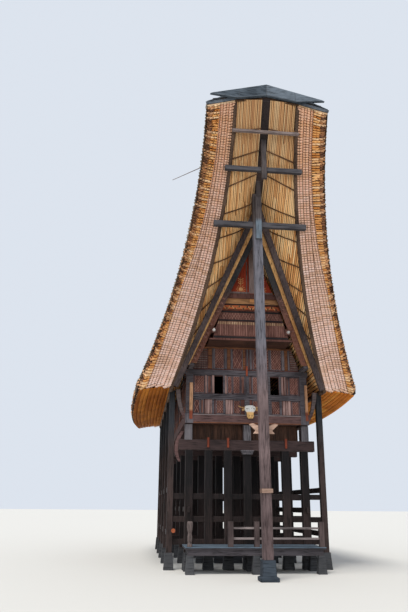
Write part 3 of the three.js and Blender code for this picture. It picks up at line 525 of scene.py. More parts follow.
# Side walls: upright boards with thin strips over their joints, in the same frames as the end
# walls and with the same pegged mid rail. One small window stands open in the middle.
SIDE_FACE = 1.58
SIDE_BAYS = [(-3.70, -2.65), (-2.55, -1.35), (-1.25, -0.16), (0.16, 1.25), (1.35, 2.55), (2.65, 3.70)]
SIDE_BOARD = {"gap": 0.02, "pitch": 0.105, "share": 0.3}
SIDE_WINDOW = (-0.155, 0.155, 4.31, 4.85)
for side in SIDES:
    dress(f"{side}_wall", [wall_red, worn_edge], 0.006)
    dress(f"side_plate_{side}", [wall_grey, worn_edge], 0.008)
    strips, edges = [], []
    for left, right in SIDE_BAYS:
        for low, high in (UPPER_ROW, LOWER_ROW):
            bay = (left + SIDE_BOARD["gap"], right - SIDE_BOARD["gap"], low, high)
            strips += uprights(*bay, SIDE_BOARD["pitch"], SIDE_BOARD["share"], SIDE_FACE)
            edges += around(left, right, low, high, SIDE_FACE, 0.035, 0.018)
    edges += around(*SIDE_WINDOW, SIDE_FACE, 0.035, 0.030)
    carve(f"side_board_strips_{side}", side, strips, [carving_pink])
    carve(f"side_board_frames_{side}", side, edges, [carving_edge])

# Gable: a row of carved panels in the wall's plane, above it a jettied box on two beams whose
# ends show as pale knobs, then three stepped bands, and on top the painted triangle with its two
# sun signs. Everything is board with raised carving, dark below and redder towards the top.
LOWER_GABLE = (5.015, 5.60)
LOWER_GABLE_PANELS = [
    (-0.88, -0.60, "crossed"), (-0.39, -0.10, "wide"), (0.18, 0.33, "wide"), (0.36, 0.63, "crossed"),
    (0.67, 0.98, "crossed"),
]
BROWN_STRIPS = [(-0.995, 0.10), (-0.48, 0.09), (-0.065, 0.06), (1.10, 0.085)]
GREY_STILES = [
    (-0.91, 0.05), (-0.565, 0.06), (-0.41, 0.04), (0.03, 0.05), (0.12, 0.06), (0.65, 0.04), (1.02, 0.065),
    (1.175, 0.045),
]
SLAT = {"first": 0.03, "pitch": 0.062, "width": 0.034, "proud": 0.014, "inner": ((1.07, -1), (1.21, 1))}
GABLE_PEG = (0.0, 4.965, 0.27, 0.05, 90, FRAME_FACE, 0.03)
GABLE_CAP = (0, 5.60, 2.50, 0.045, 0, PANEL_FACE, 0.03)
BOX_FOOT = 5.63
BOX_FACE = 4.62
GABLE_SIDES = {"lower": ((5.08, 5.62), (1.45, 1.25)), "box": ((5.63, 6.44), (1.02, 0.79))}
LATTICE = {"z": (6.19, 6.37), "pitch": 0.075, "lean": 58, "at": 6.28}
BOX_RIBS = {"at": np.arange(-0.86, 0.87, 0.0465), "rib": (5.90, 0.30, 0.020), "tip": (6.085, 0.075, 0.024)}
BOX_LINES = [(5.70, 0.05), (6.16, 0.035), (6.395, 0.035)]
BAND_FACE = 4.68
BAND_LINES = [(0, 6.445, 1.57, 0.018, 0, BAND_FACE, 0.006), (0, 6.578, 1.46, 0.030, 0, BAND_FACE, 0.012)]
TOOTH = {"at": np.arange(-0.70, 0.71, 0.11), "z": 6.502, "size": (0.135, 0.030), "lean": 42, "proud": 0.008}
BEAD = {"beside": 0.055, "z": (6.472, 6.532), "size": (0.040, 0.040, 45), "proud": 0.010}
GOLD_FACE = 4.74
GOLD_SQUARE = (0.01, 6.685, 0.12, 0.09, 0, GOLD_FACE, 0.03)
BEAM_KNOBS = [
    ((0.99, 4.670, 5.865), (0.99, 4.735, 5.865), (0.046, 0.030)),
    ((1.70, 4.24, 5.09), (1.70, 4.38, 5.06), (0.075, 0.062)),
]
TRIANGLE_FACE = 4.79
TRIANGLE_FRAME = [(0, 6.885, 1.14, 0.05, 0, TRIANGLE_FACE, 0.012)]
TRIANGLE_FRAME += [(x, 7.35, 0.86, 0.026, 90, TRIANGLE_FACE, 0.012) for x in (-0.125, 0.125)]
SUNS = {"x": 0.285, "z": 6.985, "disc": 0.060, "rays": 12, "near": 0.076, "far": 0.122}
STEM = {"z": (7.10, 7.33), "leaves": (7.13, 7.19, 7.25), "leaf": 0.085, "lean": 35, "side": 0.038, "lift": 0.02}
SIGN = (0.018, 0.010)
plank_orange = timber("orange_plank", (0.075, 0.028, 0.014), (0.26, 0.105, 0.048), "x")
gold_plank = timber("gold_plank", (0.14, 0.065, 0.030), (0.40, 0.20, 0.085), "x")
band_red = timber("red_band", (0.19, 0.036, 0.012), (0.44, 0.105, 0.035), "x")
cream = timber("cream_carving", (0.26, 0.145, 0.075), (0.56, 0.38, 0.23), "z")
near_black = timber("blackened_timber", (0.006, 0.005, 0.006), (0.030, 0.022, 0.022), "x")
triangle_red = timber("red_triangle_boards", (0.165, 0.017, 0.005), (0.42, 0.054, 0.015), "z")
gold_paint = timber("golden_sun_signs", (0.32, 0.125, 0.040), (0.56, 0.29, 0.12), "z")
white_end = timber("pale_beam_ends", (0.38, 0.36, 0.34), (0.68, 0.66, 0.63), "y")
box_brown = timber("jettied_box_boards", (0.040, 0.016, 0.013), (0.150, 0.062, 0.048), "z")
jetty_floor = timber("jetty_floor_boards", (0.026, 0.012, 0.009), (0.105, 0.046, 0.030), "x")
stud_brown = timber("gable_stud", (0.07, 0.045, 0.040), (0.21, 0.15, 0.135), "z")


def half_width(z):
    """Half the width of the gable's boards at a height"""
    return np.interp(z, *GABLE_SIDES["lower" if z < BOX_FOOT else "box"])


def box_parts(middle):
    """The jetty's floor, the red band and the golden plank take their own boards"""
    far = abs(middle.y)
    if middle.z < BOX_FOOT + 0.01 and far < BOX_FACE - 0.06:
        return 5
    if middle.z < 6.40:
        return None
    if abs(far - BAND_FACE) < 0.004:
        return 3
    return 4 if abs(far - GOLD_FACE) < 0.004 else None


def triangle_parts(middle):
    """The stud in the middle of the triangle is bare wood"""
    return 2 if abs(middle.x) < 0.073 and (abs(middle.y) > 4.80 or middle.z > 7.9) else None


for end, out in ENDS.items():
    dress(f"gable_lower_{end}", [wall_red, worn_edge], 0.006)
    box_woods = [box_brown, worn_edge, plank_orange, band_red, gold_plank, jetty_floor]
    dress(f"gable_box_{end}", box_woods, 0.006, box_parts)
    dress(f"gable_top_{end}", [triangle_red, worn_edge, stud_brown], 0.006, triangle_parts)
    low, high = LOWER_GABLE
    ridges, edges = carved_row(LOWER_GABLE_PANELS, low, high)
    slats = []
    for z in np.arange(low + SLAT["first"], high, SLAT["pitch"]):
        for inner, sign in SLAT["inner"]:
            outer = half_width(z) - 0.01
            if outer > inner + 0.03:
                middle = sign * (inner + outer) / 2
                slats.append((middle, z, outer - inner, SLAT["width"], 0, PANEL_FACE, SLAT["proud"]))
    strips, stiles = (
        [(x, (low + high) / 2, high - low, width, 90, PANEL_FACE, proud) for x, width in row]
        for row, proud in ((BROWN_STRIPS, 0.012), (GREY_STILES, 0.026))
    )
    carve(f"gable_strips_{end}", end, strips + [GABLE_CAP], [plank_orange])
    carve(f"gable_stiles_{end}", end, stiles + edges, [carving_edge])
    carve(f"gable_slats_{end}", end, slats, [stud_brown])
    carve(f"gable_peg_{end}", end, [GABLE_PEG], [red_paint])

    half = half_width(LATTICE["at"]) - 0.03
    ridges += crossed(-half, half, *LATTICE["z"], LATTICE["pitch"], LATTICE["lean"], BOX_FACE)
    ridges += [(x, *BOX_RIBS["rib"], 90, BOX_FACE, LINE["proud"]) for x in BOX_RIBS["at"]]
    tips = [(x, *BOX_RIBS["tip"], 90, BOX_FACE, LINE["proud"] + 0.003) for x in BOX_RIBS["at"]]
    lines = [(0, z, 2 * half_width(z) - 0.02, thick, 0, BOX_FACE, 0.022) for z, thick in BOX_LINES]
    teeth, beads = [], []
    for number, x in enumerate(TOOTH["at"]):
        lean = TOOTH["lean"] if number % 2 else -TOOTH["lean"]
        teeth.append((x, TOOTH["z"], *TOOTH["size"], lean, BAND_FACE, TOOTH["proud"]))
        beads.append((x + BEAD["beside"], BEAD["z"][number % 2], *BEAD["size"], BAND_FACE, BEAD["proud"]))
    carve(f"carved_ridges_{end}", end, ridges, [carving_pink])
    carve(f"cream_carving_{end}", end, tips, [cream])
    carve(f"band_teeth_{end}", end, teeth, [gold_paint])
    carve(f"black_lines_{end}", end, lines + BAND_LINES + beads, [near_black])
    carve(f"gold_square_{end}", end, [GOLD_SQUARE], [gold_paint])
    knobs = []
    for sign in (-1, 1):
        turn = np.array((sign, out, 1))
        knobs += [[*(start * turn), *(stop * turn), *radius] for start, stop, radius in BEAM_KNOBS]
    rods(f"pale_beam_ends_{end}", knobs, [white_end], 10)

    signs, discs = [], []
    thin, proud = SIGN
    for x in (-SUNS["x"], SUNS["x"]):
        reach = (SUNS["near"] + SUNS["far"]) / 2
        for turn in np.linspace(0, 360, SUNS["rays"], endpoint=False):
            place = (x + reach * math.cos(math.radians(turn)), SUNS["z"] + reach * math.sin(math.radians(turn)))
            signs.append((*place, SUNS["far"] - SUNS["near"], thin, turn, TRIANGLE_FACE, proud))
        low, high = STEM["z"]
        signs.append((x, (low + high) / 2, high - low, thin, 90, TRIANGLE_FACE, proud))
        for z in STEM["leaves"]:
            for side in (-1, 1):
                leaf = (x + side * STEM["side"], z + STEM["lift"], STEM["leaf"], 0.022, side * STEM["lean"])
                signs.append((*leaf, TRIANGLE_FACE, proud))
        faces = [(x, out * y, SUNS["z"]) for y in (TRIANGLE_FACE, TRIANGLE_FACE + 0.014)]
        discs.append([*faces[0], *faces[1], SUNS["disc"], SUNS["disc"] - 0.012])
    carve(f"triangle_frame_{end}", end, TRIANGLE_FRAME, [stud_brown])
    carve(f"sun_rays_{end}", end, signs, [gold_paint])
    rods(f"sun_discs_{end}", discs, [gold_paint], 16)

# Ridge posts: one tall square post under each swept end, on a stone of its own and with a pale
# collar and flared wings nailed on. The foot is brown where it is sheltered and rubbed, and the
# wood turns blue-grey above, where the sun reaches it; near the top, under the roof, it is painted
# dark brown again as painted shade.
COLLAR = (1.765, 1.865)
# Painted shade: the second band turns the post dark brown near its top, under the roof.
ridge_post_weathering_and_shade = [
    (3.9, 5.3, (0.045, 0.045, 0.056), (0.165, 0.160, 0.185)),
    (7.9, 8.3, (0.020, 0.016, 0.016), (0.085, 0.068, 0.064)),
]
ridge_wood = timber("ridge_post_timber", (0.046, 0.030, 0.030), (0.180, 0.128, 0.128), "z", higher=ridge_post_weathering_and_shade)
collar_tan = timber("collar_timber", (0.16, 0.095, 0.07), (0.38, 0.26, 0.20), "x")
wing_tan = timber("flared_wings_timber", (0.25, 0.14, 0.10), (0.56, 0.38, 0.29), "x")
blue_slate = timber("ridge_post_slate", (0.014, 0.019, 0.026), (0.050, 0.064, 0.082), "x", 0.9)


def collar_parts(middle):
    return 2 if COLLAR[0] < middle.z < COLLAR[1] else None


for end in ENDS:
    dress(f"ridge_post_{end}", [ridge_wood, ridge_wood, collar_tan], 0.012, collar_parts)
    dress(f"ridge_post_stone_{end}", [blue_slate, blue_slate], 0.015)
    dress(f"ridge_post_bracket_{end}", [wing_tan, wing_tan], 0.008)

# Buffalo head on the front sill: carved from one block, whitened on the forehead and ochre on
# the muzzle, with thin horns let in at the sides.
HEAD_X = 0.05
HEAD = [(HEAD_X, -3.985, 4.022), (HEAD_X, -4.0185, 3.847), (HEAD_X, -4.052, 3.672)]
HEAD_SHAPE = [
    (0, 0.085, 0.045), (0.10, 0.145, 0.075), (0.32, 0.150, 0.085), (0.46, 0.118, 0.072), (0.62, 0.090, 0.066),
    (0.86, 0.092, 0.066), (1, 0.060, 0.040),
]
HORN = {
    "line": [(0.10, -4.0, 3.975), (0.22, -4.02, 3.935), (0.315, -4.05, 3.995)], "radius": (0.026, 0.009), "steps": 9,
}
EYE = ((0.088, -4.04, 3.925), (0.094, -4.090, 3.925), (0.021, 0.012))
NOSTRIL = ((0.034, -4.09, 3.735), (0.036, -4.124, 3.735), (0.014, 0.008))
EAR = ((0.12, -4.0, 3.93), (0.215, -4.03, 3.885), (0.050, 0.020))
white_above = [(3.82, 3.86, (0.40, 0.40, 0.39), (0.70, 0.69, 0.66))]
head_white = timber("whitened_head", (0.40, 0.20, 0.06), (0.70, 0.44, 0.18), "z", 0.7, white_above)
horn_ochre = timber("ochre_horn", (0.30, 0.16, 0.06), (0.55, 0.34, 0.15), "x")
eye_black = timber("dark_eyes", (0.01, 0.008, 0.008), (0.03, 0.02, 0.02), "z")
head = shaped("buffalo_head_carved", HEAD, HEAD_SHAPE, 0.72, rod(16, 14), [head_white])
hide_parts("buffalo_head")
horns, holes, ears = [], [], []
for sign in (-1, 1):
    def beside(point):
        return (HEAD_X + sign * point[0], *point[1:])

    curve = bent([beside(point) for point in HORN["line"]], np.linspace(0, 1, HORN["steps"])[:, None])
    radius = np.linspace(*HORN["radius"], HORN["steps"])
    horns += [[*a, *b, thick, thin] for a, b, thick, thin in zip(curve, curve[1:], radius, radius[1:])]
    holes += [[*beside(start), *beside(stop), *size] for start, stop, size in (EYE, NOSTRIL)]
    ears.append([*beside(EAR[0]), *beside(EAR[1]), *UP, *EAR[2]])
rods("buffalo_horns", horns, [horn_ochre], 10)
rods("buffalo_eyes", holes, [eye_black], 10)
bars("buffalo_ears", ears, [horn_ochre], 0.010)

# Timbers in the swept ends: the curved ridge beam and eave poles, three ties between the poles
# with hangers at their middle, dark at their tops (painted shade), the dark barge timbers, and
# inside them the wide boards along the gable's edges. Each board is carved at its foot, painted
# near black higher up for the roof's shade (painted shade), and has a light strip nailed on its
# outer edge.
LIGHT_STRIP = ((1.69, 4.27, 5.00), (0.0, 5.66, 8.65))
STRIP_FACING = {"shares": (0.01, 0.985), "forward": 0.036, "inward": 0.035, "size": (0.105, 0.024)}
EDGE_BOARD = ((1.585, 4.25, 5.00), (0.0, 5.55, 8.43))
BOARD_CUTS = {"at": np.arange(0.05, 0.50, 0.0155), "lean": 0.55, "reach": 0.105, "forward": 0.022}
BOARD_CUT_SIZE = (0.016, 0.014)
grey_cross = timber("grey_cross_timber", (0.024, 0.024, 0.028), (0.085, 0.080, 0.088), "x")
# Painted shade: the hangers turn dark brown above about 8.3 m, in the roof's shade.
hanger_painted_shade = [(8.25, 8.35, (0.026, 0.021, 0.021), (0.100, 0.082, 0.080))]
hanger_grey = timber("hanger_timber", (0.036, 0.046, 0.057), (0.130, 0.165, 0.200), "z", higher=hanger_painted_shade)
pole_brown = timber("eave_pole_timber", (0.030, 0.016, 0.010), (0.130, 0.078, 0.050), "y")
pink_cross = timber("thin_tie_timber", (0.10, 0.076, 0.070), (0.28, 0.22, 0.205), "x")
barge_black = timber("barge_timber", (0.022, 0.015, 0.015), (0.115, 0.082, 0.078), "z")
strip_tan = timber("light_edge_strip", (0.40, 0.180, 0.060), (0.84, 0.500, 0.210), "z")
# Painted shade: the edge boards turn near black above about 6.1 m, in the shade of the roof over them.
edge_board_painted_shade = [(6.1, 7.0, (0.014, 0.013, 0.014), (0.055, 0.052, 0.053))]
board_red = timber("gable_edge_board", (0.085, 0.030, 0.019), (0.255, 0.108, 0.076), "z", higher=edge_board_painted_shade)


def from_strip(middle):
    """How far a face's middle is from the light strip's middle line"""
    foot, apex = (np.array(point) for point in LIGHT_STRIP)
    place = np.abs(np.array(middle))
    way = unit(apex - foot)
    return np.linalg.norm(place - foot - way * ((place - foot) @ way))


def rafter_parts(middle):
    return 0 if from_strip(middle) < 0.060 else 2


foot, apex = (np.array(point) for point in EDGE_BOARD)
upward = unit(apex - foot)
across = unit(np.cross((0, 1, 0), upward))
forward = np.cross(upward, across)
strip_foot, strip_apex = (np.array(point) for point in LIGHT_STRIP)
for side in SIDES:
    dress(f"eave_pole_{side}", [pole_brown, pole_brown], 0.004)
dress("ridge_beam", [dark_long, worn_edge])
for end, out in ENDS.items():
    for tie, wood in (("low", grey_cross), ("mid", grey_cross), ("top", pink_cross)):
        dress(f"tie_{tie}_{end}", [wood, worn_edge], 0.008)
    for hanger in ("low", "mid"):
        dress(f"hanger_{hanger}_{end}", [hanger_grey, worn_edge], 0.008)
    dress(f"barge_timbers_{end}", [barge_black, worn_edge], 0.010)
    dress(f"inner_rafters_{end}", [strip_tan, strip_tan, board_red], 0.006, rafter_parts)
    turns = [np.array((sign, out, 1)) for sign in (-1, 1)]
    cuts = []
    for number, share in enumerate(BOARD_CUTS["at"]):
        middle = foot + (apex - foot) * share + forward * BOARD_CUTS["forward"]
        lean = unit(across + upward * BOARD_CUTS["lean"] * (1 if number % 2 else -1))
        start, stop = middle - lean * BOARD_CUTS["reach"], middle + lean * BOARD_CUTS["reach"]
        cuts += [[*(start * turn), *(stop * turn), *(upward * turn), *BOARD_CUT_SIZE] for turn in turns]
    bars(f"edge_board_carving_{end}", cuts, [carving_pink])
    moved = forward * STRIP_FACING["forward"] - across * STRIP_FACING["inward"]
    low, high = (strip_foot + (strip_apex - strip_foot) * share + moved for share in STRIP_FACING["shares"])
    facings = [[*(low * turn), *(high * turn), *(across * turn), *STRIP_FACING["size"]] for turn in turns]
    bars(f"edge_strip_facings_{end}", facings, [strip_tan])

# Soffit: split bamboo strips tied side by side along the house, from the ridge beam out to the
# eave poles, golden, and duller and darker towards the tips as painted shade that evens out the
# stronger light there. Each runs a metre or so and ends where the next one starts; thin dark
# sticks tied across them come down from the ridge beam to the poles.
EAVE_POLE = {"half": 2.03, "height": 4.42, "bend": 4.20, "tip_half": 0.78, "tip_height": 10.90, "tip": 7.33}
ROOF_EDGE = {"half": 2.92, "height": 4.52, "bend": 4.10, "tip_half": 1.50, "tip_height": 10.77, "tip": 7.45}
EDGE_BULGE = 0.18
EDGE_SAG = 0.15
POLE_RADIUS = 0.05
POLE_SLANT = ([0.75, 1, 1.11], [1, 1.515, 2.296])
RIDGE = {"middle": 7.63, "rise": 3.45, "reach": 7.33, "half": 0.10}
THICK = {"ridge": 0.45, "ridge_thins": 0.21, "pole": 0.65, "pole_thins": 0.48, "edge": 0.30, "edge_thins": 0.06}
EDGE_LIFT = 0.04
LAP_RISE = 0.05
STRIP = {
    "pitch": 0.040, "share": 0.41, "thick": 0.011, "length": 0.20, "depth": 0.008, "bow": 0.088, "clear": 0.02,
    "before_pole": 0.03, "last": 0.04,
}
STRIP_UNEVEN = {"length": (0.5, 1.5), "width": 0.05, "aslant": 0.012, "depth": 0.005}
CROSS_STICKS = [0.892, 0.80, 0.705, 0.61, 0.525, 0.435, 0.345, 0.26, 0.17, 0.08]
STICK_DEPTH = 0.055
STICK_DROP = {"starts": 0.73, "slant": 0.65, "most": 0.2, "curve": 1.2}
STICK_SHARES = np.linspace(0.01, 0.965, 8)


def roof_line(line, place):
    """x, y, z along the eave pole or the edge. place runs from -2, the front tip, to 2, the back
    tip, and the roof is level between -1 and 1."""
    flat = np.minimum(np.abs(place), 1)
    swept = np.maximum(np.abs(place) - 1, 0)
    x = line["tip_half"] + (line["half"] - line["tip_half"]) * (1 - swept) ** 2
    y = np.sign(place) * (line["bend"] * flat + (line["tip"] - line["bend"]) * swept)
    z = line["height"] + (line["tip_height"] - line["height"]) * swept
    return x, y, z


def slope(across, layer, place):
    """Points of the right slope: across is 0 at the ridge beam, 1 at the eave pole and 2 at the
    edge; layer is 0 underneath, 1 on top and 2 at the raised lower end of a course."""
    across, layer, place = np.broadcast_arrays(across, layer, place)
    flat = np.minimum(np.abs(place), 1)
    swept = np.maximum(np.abs(place) - 1, 0)
    pole_x, pole_y, pole_z = roof_line(EAVE_POLE, place)
    edge_x, edge_y, edge_z = roof_line(ROOF_EDGE, place)
    edge_x = edge_x + EDGE_BULGE * (1 - flat**2)
    edge_z = edge_z - EDGE_SAG * (1 - flat**2)
    ridge_soffit = RIDGE["middle"] + RIDGE["rise"] * (np.abs(pole_y) / RIDGE["reach"]) ** 4
    pole_soffit = pole_z + POLE_RADIUS * np.interp(np.abs(place), *POLE_SLANT)
    ridge_top = ridge_soffit + THICK["ridge"] - THICK["ridge_thins"] * swept
    pole_top = pole_soffit + THICK["pole"] - THICK["pole_thins"] * swept**2.5
    edge_top = edge_z + EDGE_LIFT
    edge_base = edge_top - THICK["edge"] + THICK["edge_thins"] * swept
    inner = np.minimum(across, 1)
    past = np.maximum(across - 1, 0)
    x = RIDGE["half"] + (pole_x - RIDGE["half"]) * inner + (edge_x - pole_x) * past
    y = pole_y + (edge_y - pole_y) * past
    base = ridge_soffit + (pole_soffit - ridge_soffit) * inner + (edge_base - pole_soffit) * past
    share = x / edge_x
    at_pole = pole_x / edge_x
    sag = (ridge_top + (edge_top - ridge_top) * at_pole - pole_top) / (4 * at_pole * (1 - at_pole))
    top = ridge_top + (edge_top - ridge_top) * share - sag * 4 * share * (1 - share)
    lap = np.maximum(layer - 1, 0) * LAP_RISE
    return np.stack([x, y, base + (top - base) * np.minimum(layer, 1) + lap], -1)


def outward(across, layer, place):
    """The direction straight out of the slope's underside"""
    near = 1e-3
    here = slope(across, layer, place)
    out = slope(across + near, layer, place) - here
    along = slope(across, layer, place + near) - here
    return unit(np.cross(along, out))


def bamboo(name, tones, stain, stain_share, roughness, bump=0.25, spread=0.5, tint_by_height=None):
    """Split bamboo: every piece has its own tone, with fibres and streaks along it and stains
    that run on from piece to piece. tint_by_height is a height where its colour begins to turn,
    one above which it turns no further, and the colour it turns halfway to."""
    material = bpy.data.materials.new(name)
    material.use_nodes = True
    tree = material.node_tree
    shader = tree.nodes["Principled BSDF"]
    coordinates = add(tree, "TexCoord", {}).outputs
    island = add(tree, "NewGeometry", {}).outputs["Random Per Island"]
    shift = add(tree, "CombineXYZ", {"X": island, "Y": island, "Z": island})
    own_place = add(tree, "VectorMath", {0: shift.outputs[0], 1: (37.0, 61.0, 17.0)}, "MULTIPLY")
    stretched = {"Vector": coordinates["UV"], "Location": own_place.outputs[0], "Scale": (1.6, 16, 1)}
    fibres = add(tree, "Mapping", stretched)
    streak = add(tree, "TexNoise", {"Vector": fibres.outputs[0], "Scale": 1.5, "Detail": 5, "Roughness": 0.62})
    base = add(tree, "Math", {0: streak.outputs["Fac"], 1: 0.62, 2: 0.25 - spread / 2}, "MULTIPLY_ADD")
    own = add(tree, "Math", {0: island, 1: spread, 2: base.outputs[0]}, "MULTIPLY_ADD")
    body = ramp(tree, own.outputs[0], tones)
    patches = add(tree, "TexNoise", {"Vector": coordinates["Object"], "Scale": 1.7, "Detail": 6, "Roughness": 0.6})
    where = ramp(tree, patches.outputs["Fac"], [(0.42, 0, 0, 0), (0.66, stain_share, stain_share, stain_share)])
    colour = add(tree, "MixRGB", {"Fac": where, "Color1": body, "Color2": (*stain, 1)})
    if tint_by_height:
        low, high, tint_colour = tint_by_height
        height = add(tree, "SeparateXYZ", {0: coordinates["Object"]}).outputs["Z"]
        share = add(tree, "MapRange", {"Value": height, "From Min": low, "From Max": high, "To Max": 0.5})
        colour = add(tree, "MixRGB", {"Fac": share.outputs[0], "Color1": colour.outputs[0], "Color2": (*tint_colour, 1)})
    tree.links.new(colour.outputs[0], shader.inputs["Base Color"])
    relief = add(tree, "Bump", {"Height": streak.outputs["Fac"], "Strength": bump, "Distance": 0.004})
    tree.links.new(relief.outputs[0], shader.inputs["Normal"])
    shader.inputs["Roughness"].default_value = roughness
    shader.inputs["Specular IOR Level"].default_value = 0.08
    return material


golden_tones = [
    (0.10, 0.26, 0.090, 0.026), (0.30, 0.68, 0.310, 0.110), (0.56, 0.92, 0.500, 0.200), (0.90, 0.98, 0.680, 0.360),
]
# Painted shade: the soffit turns duller and darker towards the tips, evening out the stronger light they get.
soffit_tip_painted_shade = (8.3, 10.2, (0.24, 0.15, 0.095))
golden = bamboo("golden_split_bamboo", golden_tones, (0.50, 0.21, 0.05), 0.30, 0.6, spread=0.60, tint_by_height=soffit_tip_painted_shade)
stick_tones = [(0.2, 0.06, 0.03, 0.018), (0.8, 0.17, 0.085, 0.045)]
stick_brown = bamboo("dark_cross_sticks", stick_tones, (0.03, 0.02, 0.012), 0.4, 0.7)
for side, sign in SIDES.items():
    random = np.random.default_rng(11 + sign)
    laths = []
    x = RIDGE["half"] + STRIP["clear"]
    narrow = EAVE_POLE["half"] - EAVE_POLE["tip_half"]
    while x < EAVE_POLE["half"] - STRIP["clear"]:
        reach = 2 - math.sqrt(max(x + STRIP["before_pole"] - EAVE_POLE["tip_half"], 0) / narrow)
        start = -reach
        while start < reach:
            stop = min(reach, start + STRIP["length"] * random.uniform(*STRIP_UNEVEN["length"]))
            stop = reach if reach - stop < STRIP["last"] else stop
            laths.append((x, start, stop, random.uniform(-1, 1), random.uniform(-1, 1)))
            start = stop
        x += STRIP["pitch"]
    laths = np.array(laths)

    def lath_put(points):
        x, start, stop, drift, lift = (laths[:, i][:, None] for i in range(5))
        place = start + (stop - start) * points[..., 0]
        wide = STRIP["pitch"] * (STRIP["share"] - STRIP_UNEVEN["width"] * np.abs(drift))
        sideways = x + points[..., 1] * wide + drift * STRIP_UNEVEN["aslant"] * (points[..., 0] - 0.5)
        pole_x = roof_line(EAVE_POLE, place)[0]
        across = np.clip((sideways - RIDGE["half"]) / (pole_x - RIDGE["half"]), 0, 1)
        depth = STRIP["depth"] + lift * STRIP_UNEVEN["depth"] + (0.5 + 0.5 * points[..., 2]) * STRIP["thick"]
        depth = depth + STRIP["bow"] * across * (1 - across)
        placed = slope(across, 0, place) + outward(across * 0.98, 0, place) * depth[..., None]
        return placed * (sign, 1, 1)

    lay(f"soffit_strips_{side}", rod(6, 3), len(laths), lath_put, [golden])
    sticks = []
    for swept in CROSS_STICKS:
        drop = min(max(STICK_DROP["slant"] * (STICK_DROP["starts"] - swept), 0), STICK_DROP["most"])
        share = STICK_SHARES
        radius = 0.014 + 0.003 * share
        for out in (-1, 1):
            place = out * (1 + swept - drop * (1 - share) ** STICK_DROP["curve"])
            line = (slope(share, 0, place) + outward(share, 0, place) * STICK_DEPTH) * (sign, 1, 1)
            sticks += [[*a, *b, thin, thick] for a, b, thin, thick in zip(line, line[1:], radius, radius[1:])]
    rods(f"cross_sticks_{side}", sticks, [stick_brown])

# Roof edge, underneath: beyond the eave pole the bamboo lies the other way, straight down the
# slope, in three layers that each reach a hand's breadth past the one below, tied along dark
# battens that also stand for the shadow at each step (partly painted shade). Under the level
# eaves they are closed by wide strips that run along the house, painted lit on the right side and
# shaded on the left (painted light and shade).
CULM_PITCH = 0.060
FAN = {"turn": 0.072, "less": 0.023, "foot": 0.12, "tip": 0.15, "about": 1.45}
BANDS = [
    {"from": 1.03, "to": [(0, 1.265), (1, 1.265)], "layer": 0.00, "battens": [0.012, 0.120]},
    {"from": 1.20, "to": [(0, 1.485), (1, 1.470)], "layer": 0.14, "battens": [0.012, 0.120]},
    {
        "from": 1.42, "layer": 0.28, "battens": [0.012, 0.110, 0.215],
        "to": [
            (0, 1.75), (0.11, 1.80), (0.28, 1.84), (0.37, 1.81), (0.45, 1.73), (0.55, 1.65), (0.65, 1.60),
            (0.80, 1.56), (1, 1.56),
        ],
    },
]
BAND_CULM = {"depth": 0.020, "half": 0.475}
BAND_UNEVEN = {"length": 0.004, "depth": 0.0020, "size": (0.90, 1.04)}
BATTEN = {"first": 0.0075, "later": 0.0048, "steps": 64}
EAVE_STRIP = {
    "at": np.arange(1.05, 1.97, 0.106), "length": (0.5, 0.9), "half": 0.050, "thick": 0.012, "depth": 0.012,
    "uneven": 0.004, "rises_from": 1.26, "lift": 0.30,
}
pinkish_tones = [
    (0.12, 0.42, 0.240, 0.170), (0.34, 0.70, 0.465, 0.350), (0.60, 0.86, 0.605, 0.510), (0.90, 0.93, 0.740, 0.665),
]
tan_tip = (7.2, 10.4, (0.68, 0.31, 0.10))
pinkish = bamboo("weathered_pale_bamboo", pinkish_tones, (0.64, 0.34, 0.15), 0.35, 0.6, spread=0.38, tint_by_height=tan_tip)
# Painted light and shade: the eave strips on the right are painted brighter and more orange, as if lit from below,
# and those on the left darker brown, as if in shade.
EAVE_LIT_AND_SHADED_TONES = {
    "left": [(0.15, 0.12, 0.031, 0.004), (0.5, 0.38, 0.115, 0.014), (0.85, 0.58, 0.215, 0.032)],
    "right": [(0.15, 0.26, 0.070, 0.010), (0.5, 0.78, 0.250, 0.034), (0.85, 0.96, 0.440, 0.080)],
}
EAVE_LIT_AND_SHADED_STAINS = {"left": (0.17, 0.038, 0.004), "right": (0.34, 0.085, 0.010)}
core_brown = timber("roof_core_bamboo", (0.020, 0.010, 0.005), (0.075, 0.038, 0.018), "y", 0.9)
for side in SIDES:
    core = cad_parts[f"roof_{side}"]
    core.data.materials.clear()
    core.data.materials.append(core_brown)


def culm_places(pitch, reach=2.0):
    """Places of culms laid side by side along the edge, from tip to tip"""
    samples = np.linspace(-reach, reach, 2001)
    line = slope(1.6, 0.3, samples)
    length = np.concatenate([[0], np.cumsum(np.linalg.norm(np.diff(line, axis=0), axis=1))])
    count = int(length[-1] / pitch)
    return np.interp((np.arange(count) + 0.5) * length[-1] / count, length, samples)


def band_edge(band, swept):
    """How far across the slope a layer reaches, at a share of the way up the swept end"""
    return np.interp(swept, *zip(*band["to"]))


def fan(place, across):
    """Turns the culms of the swept ends square to the edge, so that their outer ends sit higher"""
    swept = np.abs(place) - 1
    eased = np.clip(swept / FAN["foot"], 0, 1) * np.clip((1 - swept) / FAN["tip"], 0, 1)
    turn = (FAN["turn"] - FAN["less"] * swept) * eased
    return place + np.sign(place) * turn * (across - FAN["about"])


def culms(name, pattern, line, normal, radius, sign, materials):
    """Culms that lie on one slope from start to end, with a radius at each end"""
    put = between(*line, normal, radius)
    return lay(name, pattern, len(normal), lambda points: put(points) * (sign, 1, 1), materials)


